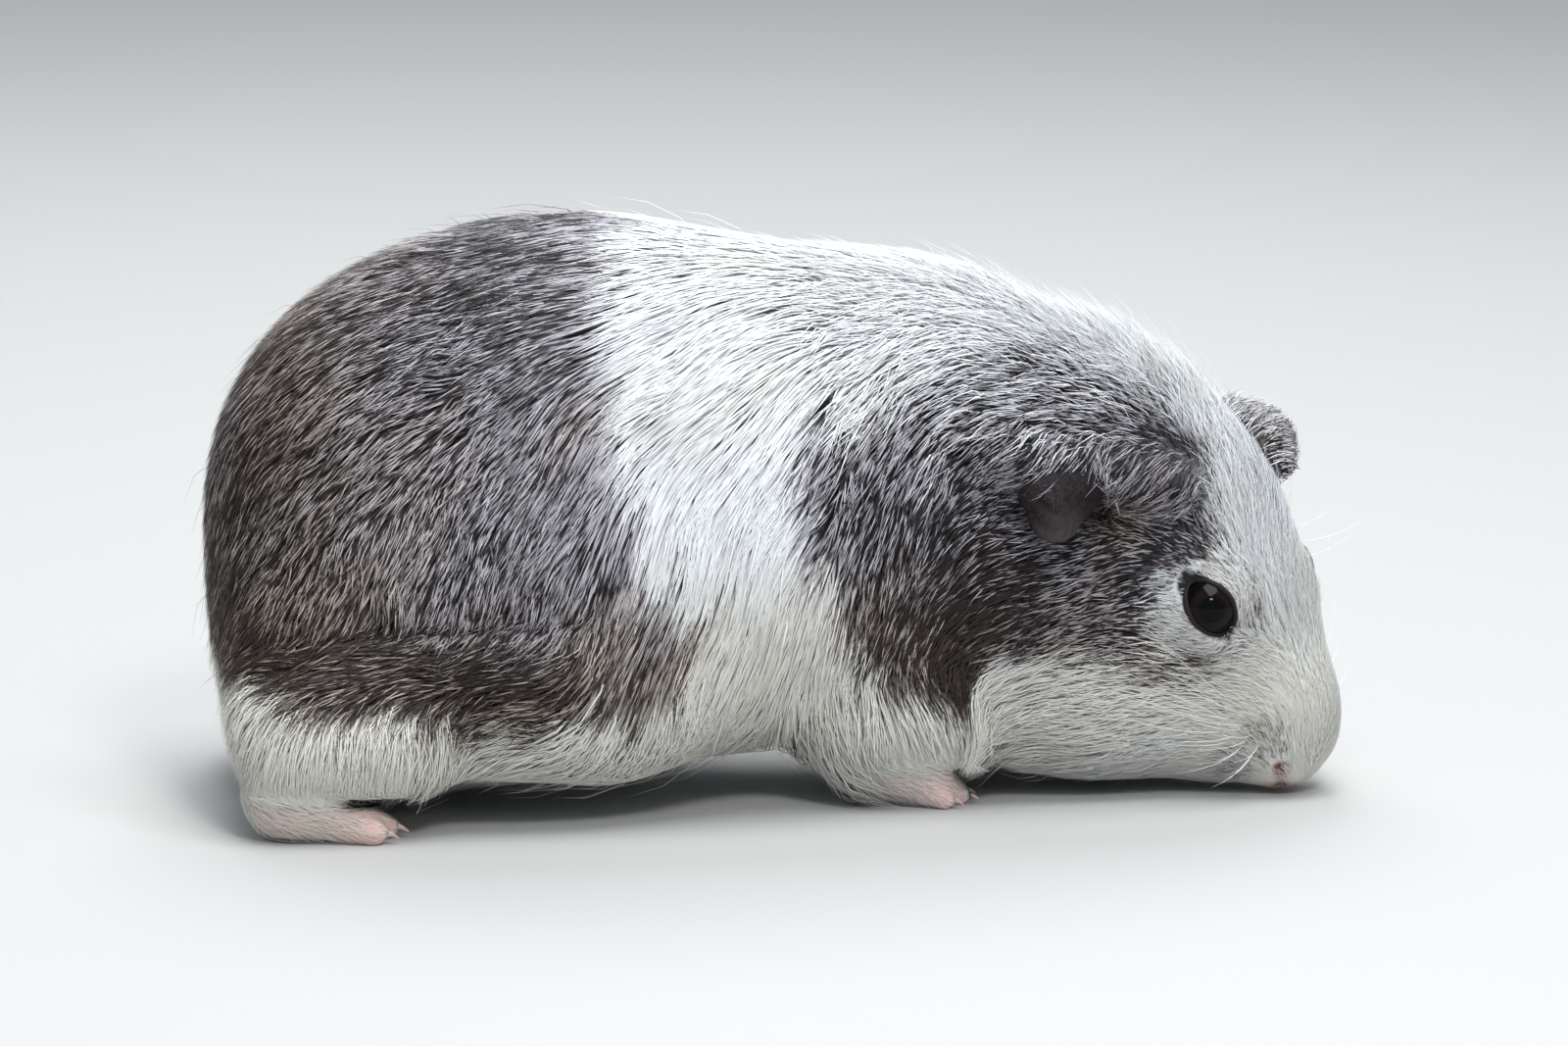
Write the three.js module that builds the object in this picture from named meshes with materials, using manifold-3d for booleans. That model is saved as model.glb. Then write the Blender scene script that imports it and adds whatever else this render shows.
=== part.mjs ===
// A guinea pig, life size, standing on its four feet with its nose lowered to the ground.
// Millimetres. +X is forwards, +Y is the animal's left, +Z is up, and the floor is z = 0.
// The outline is that of the coat, since the flesh under it isn't seen.
//
// The body is one field of named ellipsoids that melt into one another. A field is turned into
// a closed skin by casting rays out of a line that runs inside it. Thin cuts part the skin where
// its parts are named, and each leg takes its hip or shoulder with it out of the body.
import * as THREE from "three";
import { mergeVertices } from "three/addons/utils/BufferGeometryUtils.js";
import Module from "manifold-3d";

const wasm = await Module();
wasm.setup();

// ---------------------------------------------------------------- driving dimensions

const PARTING = 0.3; // gap between two neighbouring parts
const SIDES = { right: -1, left: 1 };

// The head has its own axes: forwards to the nose, to the left, and up to the crown.
const HEAD = {
  centre: [77.8, -9, 38],
  pitch: 55, // degrees that the nose is lowered
  yaw: -34, // degrees that the face is turned, to the animal's right
  roll: 5, // degrees that the crown leans, to the animal's right
};
const EYE = { at: [7, 15.8, 11.4], radius: 6.1 };
const NOSE = { at: [37.8, -0.8, -1.6], size: [5.8, 7.6, 5.4] };
const NOSTRIL = { at: [42, 4.9, -1.4], size: [2.6, 1, 1.9], turn: [25, 0, 40] };

// An ear is a thin petal that hangs from a root line on the head. `rise` is how far it points
// up from straight out, in degrees, where it leaves the head and at its rim. Its lobe is the
// long part of the rim, placed from -1 at the back of the root to 1 at the front. The hollow
// under it leads to the ear's opening.
const EARS = {
  right: {
    front: [-15, -18, 19.5],
    back: [-31, -36, 4],
    rise: [15, -92],
    lobe: { at: -0.4, width: 0.5 },
    hollow: [-16.5, -27.5, 12.5],
  },
  left: {
    front: [-11, 18, 21],
    back: [-29, 22, 8],
    rise: [34, -26],
    lobe: { at: 0, width: 0.85 },
    hollow: [-14, 22, 14],
  },
};
const EAR = {
  short: 6, // from root to rim at the two ends
  long: 19.5, // and at the lobe
  thick: 1.5,
  rim: 0.7, // thickness at the rim
  curl: 2.4, // how far the ends of the rim bend outwards
  sweep: 2.5, // how far the rim lies back
  endTaper: 0.55,
};
const HOLLOW_SIZE = [6, 4.5, 3.8];

// A leg is placed by its foot's centre on the floor, and `toeOut` turns the foot, in degrees.
// Its other places are in foot axes: forwards along the middle toes, to the left, and up.
const LEGS = {
  hind: {
    right: { foot: [-88, -38], toeOut: 6 },
    left: { foot: [-84, 38], toeOut: 9 },
    heel: { at: [1, 0, 17], size: [17, 11.5, 16] }, // the hock
    root: { at: [18, 0, 14], size: [41, 20, 24] }, // what the leg takes out of the body
    shank: [
      { at: [-3, 0, 13], size: [11, 8, 14] },
      { at: [-4, 0, 7], size: [10, 7, 8] },
    ],
    ankle: 9, // height at which the leg ends and the foot begins
    sole: [
      { at: [-1.5, 0, 4], size: [10, 6.3, 5.8] },
      { at: [5, 0, 3], size: [7, 7, 4.3] },
    ],
    toes: { count: 3, at: 5.5, length: 8.2, radius: 2.3, spread: 4.5, fan: 9, claw: 4.2 },
  },
  fore: {
    right: { foot: [25, -22], toeOut: 4 },
    left: { foot: [37, 21], toeOut: 6 },
    heel: { at: [-6, 0, 17], size: [14, 10.5, 14] }, // the elbow
    root: { at: [-2, 0, 15], size: [20, 15, 23] },
    shank: [
      { at: [-6, 0, 17], size: [14, 10.5, 17] },
      { at: [-1, 0, 8], size: [8, 7, 8] },
    ],
    ankle: 8,
    sole: [
      { at: [-1, 0, 4.4], size: [7, 6, 5.6] },
      { at: [2.3, 0, 2.9], size: [5.4, 6.4, 3.8] },
    ],
    toes: { count: 4, at: 3.2, length: 6.8, radius: 1.85, spread: 3.3, fan: 14, claw: 3.4 },
  },
};
const OUTER_TOE = { back: 0.9, shorter: 0.09 }; // both grow with the square of its rank

// Where two lengths of the body meet: a point of the cut, how far its top leans forwards, and
// how far it is turned with the head, in degrees.
const CUTS = {
  loin: { at: [-48, 0, 60], lean: -10, turn: 0 },
  ribs: { at: [-2, 0, 60], lean: -3, turn: 0 },
  shoulder: { at: [31, 0, 60], lean: 6, turn: -4 },
  nape: { at: [47, -3, 55], lean: 10, turn: -10 },
};

// How far from each other two surfaces begin to melt together.
const BLEND = { body: 12, shank: 5, sole: 3, single: 1 };

const COLOURS = {
  greyFur: 0x7b7478,
  whiteFur: 0xe8e7e2,
  ear: 0x544b50,
  skin: 0xd9aeaa,
  nose: 0xc48d86,
  eye: 0x0d0b0d,
  claw: 0xd8c4ba,
};
const ROUGHNESS = { fur: 0.95, skin: 0.6, claw: 0.4, eye: 0.05 };

// ---------------------------------------------------------------- vectors and frames

const rad = THREE.MathUtils.degToRad;
const vec = (a) => new THREE.Vector3(...a);
const flipped = (a, side) => [a[0], a[1] * side, a[2]];
const turned = (x, y, z) =>
  new THREE.Matrix4().makeRotationFromEuler(new THREE.Euler(rad(x), rad(y), rad(z), "ZYX"));

const OWN_AXES = new THREE.Matrix4(); // the whole part's

// Takes head axes to the part's own.
const headMatrix = turned(HEAD.roll, HEAD.pitch, HEAD.yaw).setPosition(vec(HEAD.centre));

// Takes foot axes to the part's own.
const footMatrix = ({ foot, toeOut }, side) =>
  turned(0, 0, toeOut * side).setPosition(foot[0], foot[1], 0);

// A smooth line through points that are given in a frame's axes.
const lineIn = (frame, ...points) =>
  new THREE.CatmullRomCurve3(points.map((point) => vec(point).applyMatrix4(frame)));

// The cross, up and along axes at a point of a line; `level` is what the cross axis is square to.
function stationAt(line, t, level) {
  const along = line.getTangentAt(t);
  const cross = level.clone().cross(along).normalize();
  return { from: line.getPointAt(t), along, cross, up: along.clone().cross(cross) };
}

// ---------------------------------------------------------------- fields

// An ellipsoid at `at`, of half-axes `size`.
function blob(at, size, frame = OWN_AXES) {
  const matrix = frame.clone().multiply(new THREE.Matrix4().setPosition(vec(at)));
  return { inverse: matrix.invert(), size: vec(size) };
}

// The same on both sides of the middle plane.
const pair = (at, size, frame = OWN_AXES) =>
  Object.values(SIDES).map((side) => blob(flipped(at, side), size, frame));

// Roughly how far a point is outside an ellipsoid, below zero inside it.
function outsideOf(shape, point) {
  const q = point.clone().applyMatrix4(shape.inverse).divide(shape.size);
  const reach = q.length();
  return (reach * (reach - 1)) / Math.max(q.divide(shape.size).length(), 1e-6);
}

// The smaller of two distances, rounded off where they are within `blend` of each other.
function melt(a, b, blend) {
  const near = Math.max(blend - Math.abs(a - b), 0) / blend;
  return Math.min(a, b) - (near * near * blend) / 4;
}

const fieldOf = (shapes, blend) => (point) =>
  shapes.map((shape) => outsideOf(shape, point)).reduce((a, b) => melt(a, b, blend));

const swollen = (field, by) => (point) => field(point) - by;

// ---------------------------------------------------------------- casting a skin

const RAY = { reach: 90, stride: 1.2, halvings: 18 };

// Where a ray from inside a field first leaves it.
function leave(field, from, towards) {
  const at = (distance) => field(from.clone().addScaledVector(towards, distance));
  let inside = 0;
  let outside = RAY.stride;
  while (at(outside) < 0 && outside < RAY.reach) {
    inside = outside;
    outside += RAY.stride;
  }
  for (let i = 0; i < RAY.halvings; i++) {
    const middle = (inside + outside) / 2;
    if (at(middle) < 0) inside = middle;
    else outside = middle;
  }
  return from.clone().addScaledVector(towards, outside);
}

// The triangles of a closed tube: a first point, rings of `around` points, and a last point.
function tubeOf(points, rings, around) {
  const at = (i, k) => 1 + i * around + (k % around);
  const index = [];
  for (let k = 0; k < around; k++) {
    index.push(0, at(0, k + 1), at(0, k));
    for (let i = 0; i + 1 < rings; i++) {
      index.push(at(i, k), at(i, k + 1), at(i + 1, k + 1));
      index.push(at(i, k), at(i + 1, k + 1), at(i + 1, k));
    }
    index.push(points.length - 1, at(rings - 1, k), at(rings - 1, k + 1));
  }
  return new THREE.BufferGeometry().setFromPoints(points).setIndex(index);
}

// A closed skin round a line inside the field: rings across the line, and a fan at each end.
function castSkin(field, line, { rings, spokes, fan, level = [0, 0, 1] }) {
  const points = [];
  const ring = (station, lean) => {
    for (let k = 0; k < spokes; k++) {
      const turn = (2 * Math.PI * k) / spokes;
      const towards = station.cross.clone().multiplyScalar(Math.cos(turn) * Math.cos(lean))
        .addScaledVector(station.up, Math.sin(turn) * Math.cos(lean))
        .addScaledVector(station.along, Math.sin(lean));
      points.push(leave(field, station.from, towards));
    }
  };
  const square = Math.PI / 2;
  const start = stationAt(line, 0, vec(level));
  const end = stationAt(line, 1, vec(level));
  const [startFan, endFan] = fan;
  points.push(leave(field, start.from, start.along.clone().negate()));
  for (let i = 1; i <= startFan; i++) ring(start, square * (i / (startFan + 1) - 1));
  for (let i = 0; i <= rings; i++) ring(stationAt(line, i / rings, vec(level)), 0);
  for (let i = 1; i <= endFan; i++) ring(end, (square * i) / (endFan + 1));
  points.push(leave(field, end.from, end.along));
  return tubeOf(points, startFan + rings + 1 + endFan, spokes);
}

// ---------------------------------------------------------------- joining and cutting

const WELD = 1e-4; // points nearer to each other than this are one

// A closed three.js geometry as a solid that can be joined and cut.
function solidOf(geometry, frame = OWN_AXES) {
  const bare = new THREE.BufferGeometry();
  const whole = geometry.index ? geometry.toNonIndexed() : geometry;
  bare.setAttribute("position", whole.getAttribute("position").clone()).applyMatrix4(frame);
  const merged = mergeVertices(bare, WELD);
  return new wasm.Manifold(new wasm.Mesh({
    numProp: 3,
    vertProperties: merged.attributes.position.array,
    triVerts: new Uint32Array(merged.index.array),
  }));
}

function geometryOf(solid) {
  const mesh = solid.getMesh();
  const positions = new Float32Array(mesh.numVert * 3);
  for (let i = 0; i < mesh.numVert; i++) {
    const first = i * mesh.numProp;
    positions.set(mesh.vertProperties.subarray(first, first + 3), i * 3);
  }
  return new THREE.BufferGeometry()
    .setAttribute("position", new THREE.BufferAttribute(positions, 3))
    .setIndex(new THREE.BufferAttribute(new Uint32Array(mesh.triVerts), 1));
}

// The largest body of a solid, without the crumbs that a cut can leave.
const mainBody = (solid) =>
  solid.decompose().reduce((a, b) => (a.volume() > b.volume() ? a : b));

const WORLD = 400; // side of a box that holds more than the whole animal

// Everything on one side of a plane x = 0 or z = 0 of a frame: `way` says which side, and
// `gap` how far off the plane it starts.
function halfSpace(axis, way, gap = 0, frame = OWN_AXES) {
  const off = way * (WORLD / 2 + gap);
  const block = new THREE.BoxGeometry(WORLD, WORLD, WORLD);
  block.translate(axis === "x" ? off : 0, 0, axis === "z" ? off : 0);
  return solidOf(block, frame);
}

// Everything in front of a cut across the body, or behind it for a `way` of -1.
const beyond = ({ at, lean, turn }, way) =>
  halfSpace("x", way, PARTING / 2, turned(0, lean, turn).setPosition(vec(at)));

const aboveFloor = halfSpace("z", 1);

// Ellipsoids that melt together, swollen by `grow` and cast from a line.
function lump(shapes, line, frame, grow, blend, grid) {
  const field = fieldOf(shapes.map(({ at, size }) => blob(at, size, frame)), blend);
  return solidOf(castSkin(swollen(field, grow), lineIn(frame, ...line), grid));
}

// One ellipsoid of the head's, by itself.
const headBall = (at, size, turn = [0, 0, 0], detail = [8, 6]) =>
  solidOf(new THREE.SphereGeometry(1, ...detail).scale(...size),
    headMatrix.clone().multiply(turned(...turn).setPosition(vec(at))));

// ---------------------------------------------------------------- the body's field

const HEELS = Object.values(LEGS).flatMap(({ heel, right, left }) => [
  blob(heel.at, heel.size, footMatrix(right, SIDES.right)),
  blob(heel.at, heel.size, footMatrix(left, SIDES.left)),
]);
const TRUNK = [
  blob([-60, 0, 53.5], [47, 43.5, 51.5]), // rump
  blob([-34, 0, 60], [52, 42.5, 50.5]), // loin
  blob([-18, 0, 44], [58, 45, 36]), // belly
  blob([6, 0, 58], [45, 40, 46]), // ribs
  blob([33, 0, 59], [33, 35, 41]), // withers
  blob([38, 0, 34], [27, 28, 27]), // chest
  blob([57, -3, 56], [30, 30, 32]), // neck
  blob([56, -17, 17], [24, 15, 15]), // jowl on the right
  blob([62, 6, 17], [24, 15, 15]), // jowl on the left
  ...pair([-80, 17, 28], [24.5, 23, 26]), // buttock
  ...pair([-60, 28, 36], [38, 17.5, 30]), // thigh
  ...pair([-38, 32, 22], [24, 13, 14]), // knee
  ...pair([34, 21, 36], [20, 15, 26]), // shoulder
  ...HEELS,
];
const SKULL = [
  blob([-11, 0, 6], [26, 24, 21.5], headMatrix), // crown
  blob([15, 0, 5], [24, 14, 13], headMatrix), // bridge of the nose
  blob([26, 0, 1], [12, 8.5, 11.5], headMatrix), // muzzle
  blob([33, 0, 1.5], [8.5, 8, 5.5], headMatrix), // tip of the nose
  blob([14, 0, -12], [18, 12, 10], headMatrix), // chin
  blob([-20, 0, -23], [28, 25, 26], headMatrix), // throat
  ...pair([-2, 13, -14], [25, 15, 20], headMatrix), // cheek
  ...pair([21, 7, -6], [10, 7, 9], headMatrix), // upper lip
  ...pair([8, 9, 9], [10, 8, 8], headMatrix), // brow
];
const bodyField = fieldOf([...TRUNK, ...SKULL], BLEND.body);

// The trunk's skin is cast from the backbone, and the head's from a line down to the muzzle.
const BACKBONE = lineIn(OWN_AXES,
  [-66, 0, 50], [-35, 0, 56], [0, 0, 56], [34, 0, 55], [58, -3, 52]);
const BACKBONE_GRID = { rings: 16, spokes: 26, fan: [5, 2] };
const HEAD_LINE = lineIn(headMatrix, [-22, 0, -2], [22, 0, -3]);
const HEAD_GRID = { rings: 8, spokes: 24, fan: [5, 8] };

const trunkSkin = solidOf(castSkin(bodyField, BACKBONE, BACKBONE_GRID)).intersect(aboveFloor);
const headSkin = solidOf(castSkin(bodyField, HEAD_LINE, HEAD_GRID)).intersect(aboveFloor);
const trunkClear = solidOf(castSkin(swollen(bodyField, PARTING), BACKBONE, BACKBONE_GRID));
const headClear = solidOf(castSkin(swollen(bodyField, PARTING), HEAD_LINE, HEAD_GRID));

// ---------------------------------------------------------------- legs and feet

const ROOT_GRID = { rings: 3, spokes: 12, fan: [2, 2] };
const SHANK_GRID = { rings: 2, spokes: 10, fan: [2, 2], level: [1, 0, 0] };
const SOLE_GRID = { rings: 2, spokes: 9, fan: [2, 2] };
const TOE_GRID = { rings: 1, spokes: 6, fan: [1, 1] };
const CLAW_GRID = { rings: 4, spokes: 5 };

// The ellipsoid of hip or shoulder that goes with the leg.
function rootSolid({ root }, frame, grow) {
  const [x, y, z] = root.at;
  const half = root.size[0] / 4;
  const line = [[x - half, y, z], [x + half, y, z]];
  return lump([root], line, frame, grow, BLEND.single, ROOT_GRID);
}

function shankSolid({ shank }, frame) {
  const [upper, lower] = shank.map(({ at }) => at);
  const line = [[upper[0], 0, upper[2] * 1.5], lower];
  return lump(shank, line, frame, 0, BLEND.shank, SHANK_GRID);
}

// The axes of a toe, from its knuckle, and how long it is beside the middle ones.
function toePlace(toes, i, foot) {
  const rank = i - (toes.count - 1) / 2;
  const knuckle = turned(0, 0, toes.fan * rank)
    .setPosition(toes.at - OUTER_TOE.back * rank * rank, toes.spread * rank, 0);
  return { frame: foot.clone().multiply(knuckle), scale: 1 - OUTER_TOE.shorter * rank * rank };
}

// A toe has two joints in line, the second one lower.
function toeSolid(toes, i, foot, grow) {
  const { frame, scale } = toePlace(toes, i, foot);
  const radius = toes.radius;
  const reach = toes.length * scale;
  const joints = [
    { at: [reach * 0.3, 0, radius * 1.1], size: [reach * 0.42, radius, radius * 1.15] },
    { at: [reach * 0.78, 0, radius * 0.9], size: [reach * 0.3, radius * 0.9, radius] },
  ];
  const line = [[reach * 0.1, 0, radius * 0.9], [reach * 0.8, 0, radius * 0.8]];
  return lump(joints, line, frame, grow, BLEND.single, TOE_GRID);
}

// The foot with its toes, without claws.
function footSolid({ sole, toes }, frame, grow) {
  const [heel, ball] = sole.map(({ at }) => at);
  const line = [[heel[0] - 3, 0, heel[2] * 0.8], [ball[0], 0, ball[2] * 0.9]];
  let foot = lump(sole, line, frame, grow, BLEND.sole, SOLE_GRID);
  for (let i = 0; i < toes.count; i++) foot = foot.add(toeSolid(toes, i, frame, grow));
  return foot;
}

// A claw is a cone that bends down towards the floor from inside the toe's end.
function clawSolid(toes, i, foot) {
  const { frame, scale } = toePlace(toes, i, foot);
  const from = toes.length * scale * 0.86;
  const height = toes.radius * 0.95;
  const middle = lineIn(frame, [from, 0, height], [from + toes.claw * 0.55, 0, height * 0.95],
    [from + toes.claw, 0, height * 0.4]);
  const { rings, spokes } = CLAW_GRID;
  const points = [middle.getPointAt(0)];
  for (let j = 0; j < rings; j++) {
    const along = j / rings;
    const station = stationAt(middle, along * 1.1, vec([0, 0, 1]));
    const radius = toes.radius * 0.38 * (1 - along ** 1.5);
    for (let k = 0; k < spokes; k++) {
      const turn = (2 * Math.PI * k) / spokes;
      points.push(station.from.clone()
        .addScaledVector(station.cross, radius * 0.75 * Math.cos(turn))
        .addScaledVector(station.up, radius * Math.sin(turn)));
    }
  }
  points.push(middle.getPointAt(1));
  return solidOf(tubeOf(points, rings, spokes));
}

// ---------------------------------------------------------------- ears and nose

// How long the ear is at a place along its root, from -1 at the back to 1 at the front.
function earLength(lobe, place) {
  const fullness = Math.exp(-(((place - lobe.at) / lobe.width) ** 2));
  return (EAR.short + (EAR.long - EAR.short) * fullness) * (1 - EAR.endTaper * place ** 6);
}

// A point of the ear's middle sheet: `out` runs from 0 at the root to 1 at the rim.
function earPoint({ front, back, rise, lobe }, side, place, out) {
  const along = vec(front).sub(vec(back)).normalize();
  const up = along.clone().cross(vec([0, side, 0])).normalize().multiplyScalar(side);
  const outwards = up.clone().cross(along).normalize().multiplyScalar(side);
  const point = vec(back).lerp(vec(front), (place + 1) / 2);
  const steps = 8;
  const stride = (earLength(lobe, place) * out) / steps;
  for (let j = 0; j < steps; j++) {
    const here = ((j + 0.5) / steps) * out;
    const lift = rad(rise[0] + (rise[1] - rise[0]) * here);
    point.addScaledVector(outwards, Math.cos(lift) * stride);
    point.addScaledVector(up, Math.sin(lift) * stride);
  }
  const curl = EAR.curl * place * place * out;
  return point.addScaledVector(along, -EAR.sweep * out).addScaledVector(outwards, curl);
}

// The ear as a closed shell round its middle sheet, thinner towards the rim.
function earSolid(ear, side) {
  const [across, down] = [10, 5];
  const nearby = 0.02;
  const points = [];
  for (const face of [1, -1]) {
    for (let j = 0; j <= down; j++) {
      for (let i = 0; i <= across; i++) {
        const [place, out] = [-1 + (2 * i) / across, j / down];
        const alongRoot = earPoint(ear, side, place + nearby, out)
          .sub(earPoint(ear, side, place - nearby, out));
        const toRim = earPoint(ear, side, place, out + nearby)
          .sub(earPoint(ear, side, place, out - nearby));
        const normal = alongRoot.cross(toRim).normalize();
        const thick = EAR.thick + (EAR.rim - EAR.thick) * out;
        points.push(earPoint(ear, side, place, out).addScaledVector(normal, (face * thick) / 2));
      }
    }
  }
  const row = across + 1;
  const layer = row * (down + 1);
  const index = [];
  const quad = (a, b, c, d) => index.push(a, b, c, a, c, d);
  for (let j = 0; j < down; j++) {
    for (let i = 0; i < across; i++) {
      const a = j * row + i;
      quad(a, a + 1, a + row + 1, a + row);
      quad(layer + a, layer + a + row, layer + a + row + 1, layer + a + 1);
    }
    const [back, front] = [j * row, j * row + across];
    quad(back, back + row, layer + back + row, layer + back);
    quad(front, layer + front, layer + front + row, front + row);
  }
  for (let i = 0; i < across; i++) {
    const rim = down * row + i;
    quad(i, layer + i, layer + i + 1, i + 1);
    quad(rim, rim + 1, layer + rim + 1, layer + rim);
  }
  return solidOf(new THREE.BufferGeometry().setFromPoints(points).setIndex(index), headMatrix);
}

const NOSE_GRID = { rings: 1, spokes: 10, fan: [2, 2] };

// The bare pad that the nostrils open in.
function nosePad(grow) {
  const [x, , z] = NOSE.at;
  const line = [[x - 2, 0, z], [x + 1, 0, z]];
  return lump([NOSE], line, headMatrix, grow, BLEND.single, NOSE_GRID);
}

// ---------------------------------------------------------------- the parts

const group = new THREE.Group();

function show(name, solid, color, roughness = ROUGHNESS.fur) {
  const material = new THREE.MeshStandardMaterial({ color, roughness, metalness: 0 });
  const mesh = new THREE.Mesh(geometryOf(mainBody(solid)), material);
  mesh.name = name;
  group.add(mesh);
}

let trunkRest = trunkSkin;
let headRest = headSkin.subtract(nosePad(PARTING));
let nose = nosePad(0).intersect(aboveFloor);

for (const [kind, leg] of Object.entries(LEGS)) {
  const ankle = new THREE.Matrix4().setPosition(0, 0, leg.ankle);
  for (const [sideName, side] of Object.entries(SIDES)) {
    const frame = footMatrix(leg[sideName], side);
    const lower = shankSolid(leg, frame).add(footSolid(leg, frame, 0)).intersect(aboveFloor);
    const upper = trunkSkin.intersect(rootSolid(leg, frame, 0)).add(lower);
    const thigh = upper.intersect(halfSpace("z", 1, PARTING / 2, ankle));
    const foot = lower.subtract(trunkClear).intersect(halfSpace("z", -1, PARTING / 2, ankle));
    const rootClear = rootSolid(leg, frame, PARTING);
    const footClear = footSolid(leg, frame, PARTING);
    trunkRest = trunkRest.subtract(rootClear);
    headRest = headRest.subtract(rootClear);

    show(`${kind}_leg_${sideName}`, thigh, COLOURS.whiteFur);
    show(`${kind}_foot_${sideName}`, foot, COLOURS.skin, ROUGHNESS.skin);
    for (let i = 0; i < leg.toes.count; i++) {
      const claw = clawSolid(leg.toes, i, frame).subtract(footClear).intersect(aboveFloor);
      show(`${kind}_claw_${sideName}_${i + 1}`, claw, COLOURS.claw, ROUGHNESS.claw);
    }
  }
}

for (const [sideName, side] of Object.entries(SIDES)) {
  const eyeBall = (radius) =>
    headBall(flipped(EYE.at, side), [radius, radius, radius], [90, 0, 0], [12, 8]);
  headRest = headRest.subtract(eyeBall(EYE.radius + PARTING));
  show(`eye_${sideName}`, eyeBall(EYE.radius), COLOURS.eye, ROUGHNESS.eye);

  const nostrilTurn = [NOSTRIL.turn[0] * side, NOSTRIL.turn[1], NOSTRIL.turn[2] * side];
  nose = nose.subtract(headBall(flipped(NOSTRIL.at, side), NOSTRIL.size, nostrilTurn));

  const ear = EARS[sideName];
  headRest = headRest.subtract(headBall(ear.hollow, HOLLOW_SIZE));
  const petal = earSolid(ear, side).subtract(headClear.add(trunkClear));
  show(`ear_${sideName}`, petal, COLOURS.ear);
}
show("nose", nose, COLOURS.nose, ROUGHNESS.skin);
show("head", headRest.intersect(beyond(CUTS.nape, 1)), COLOURS.greyFur);

// The lengths of the body behind the head, each between the cut in front and the one behind.
const between = (front, back) => trunkRest.intersect(beyond(front, -1)).intersect(beyond(back, 1));
show("neck", between(CUTS.nape, CUTS.shoulder), COLOURS.greyFur);
show("chest", between(CUTS.shoulder, CUTS.ribs), COLOURS.whiteFur);
show("trunk", between(CUTS.ribs, CUTS.loin), COLOURS.greyFur);
show("rump", trunkRest.intersect(beyond(CUTS.loin, -1)), COLOURS.greyFur);

// The origin is on the floor, under the middle of the whole animal's box.
const box = new THREE.Box3().setFromObject(group);
const middle = box.getCenter(new THREE.Vector3());
group.position.set(-middle.x, -middle.y, -box.min.z);

export default group;
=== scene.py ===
"""The looks of a life-size guinea pig: one skin with lids, ears, nose and feet, and over it a coat
of solid tufts that lie along the body. Lengths are in millimetres until a mesh is written.
+X is forwards, +Y is the animal's left, +Z is up, and the floor is z = 0."""

import math

import bmesh
import bpy
import numpy as np
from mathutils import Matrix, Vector
from mathutils.bvhtree import BVHTree
from mathutils.kdtree import KDTree


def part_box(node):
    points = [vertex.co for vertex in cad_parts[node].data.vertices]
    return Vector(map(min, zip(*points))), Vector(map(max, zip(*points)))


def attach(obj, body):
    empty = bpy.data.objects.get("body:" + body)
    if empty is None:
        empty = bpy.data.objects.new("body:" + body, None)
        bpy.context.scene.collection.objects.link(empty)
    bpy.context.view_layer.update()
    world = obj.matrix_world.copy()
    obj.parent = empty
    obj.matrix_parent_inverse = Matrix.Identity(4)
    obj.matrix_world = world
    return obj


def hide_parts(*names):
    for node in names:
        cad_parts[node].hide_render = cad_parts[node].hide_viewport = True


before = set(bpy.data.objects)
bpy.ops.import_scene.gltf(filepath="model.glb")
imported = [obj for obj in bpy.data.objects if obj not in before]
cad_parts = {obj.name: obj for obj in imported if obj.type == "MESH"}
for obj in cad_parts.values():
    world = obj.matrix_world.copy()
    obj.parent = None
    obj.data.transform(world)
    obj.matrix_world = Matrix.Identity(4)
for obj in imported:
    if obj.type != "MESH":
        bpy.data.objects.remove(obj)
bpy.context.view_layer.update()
MM = 0.001
SIDES = {"right": -1, "left": 1}

# ---- small helpers


def ramp(low, high, x):
    """0 below low, 1 above high and smooth between; high may be the smaller one."""
    t = np.clip((np.asarray(x, float) - low) / (high - low), 0, 1)
    return t * t * (3 - 2 * t)


def mix(a, b, w):
    return a + (b - a) * w


def norm(v):
    return np.linalg.norm(v, axis=1)


def unit(v):
    return v / np.maximum(np.linalg.norm(v, axis=-1, keepdims=True), 1e-9)


def dot(a, b):
    return (a * b).sum(-1, keepdims=True)


def box_mm(node):
    low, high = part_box(node)
    return np.array(low) / MM, np.array(high) / MM


def middle_mm(node):
    return sum(box_mm(node)) / 2


def box_distance(node, p):
    """How far each point is from the box round a node."""
    low, high = box_mm(node)
    return norm(np.maximum(np.maximum(low - p, p - high), 0))


def from_segment(p, a, b):
    """The way to each point from the nearest place on the line from a to b."""
    a, b = np.asarray(a, float), np.asarray(b, float)
    t = np.clip((p - a) @ (b - a) / ((b - a) @ (b - a)), 0, 1)
    return p - a - t[:, None] * (b - a)


def wobble(p, scale, seed):
    """Smooth noise from -1 to 1 with features about `scale` wide: a few sines in odd directions."""
    rng = np.random.default_rng(seed)
    total = np.zeros(len(p))
    for octave in (1.0, 1.9, 3.1):
        for _ in range(3):
            way = unit(rng.normal(size=3))
            total += np.sin(p @ way * (octave * 2 * math.pi / scale) + rng.uniform(0, 7)) / octave
    return total / 3.2


# ---- places, from the frame

EYE_AT = {name: middle_mm(f"eye_{name}") for name in SIDES}
EYE_RADIUS = float(np.mean(np.subtract(*reversed(box_mm("eye_right"))))) / 2
NOSE_AT = middle_mm("nose")
FEET = {n: middle_mm(n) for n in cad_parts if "_foot_" in n}

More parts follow.
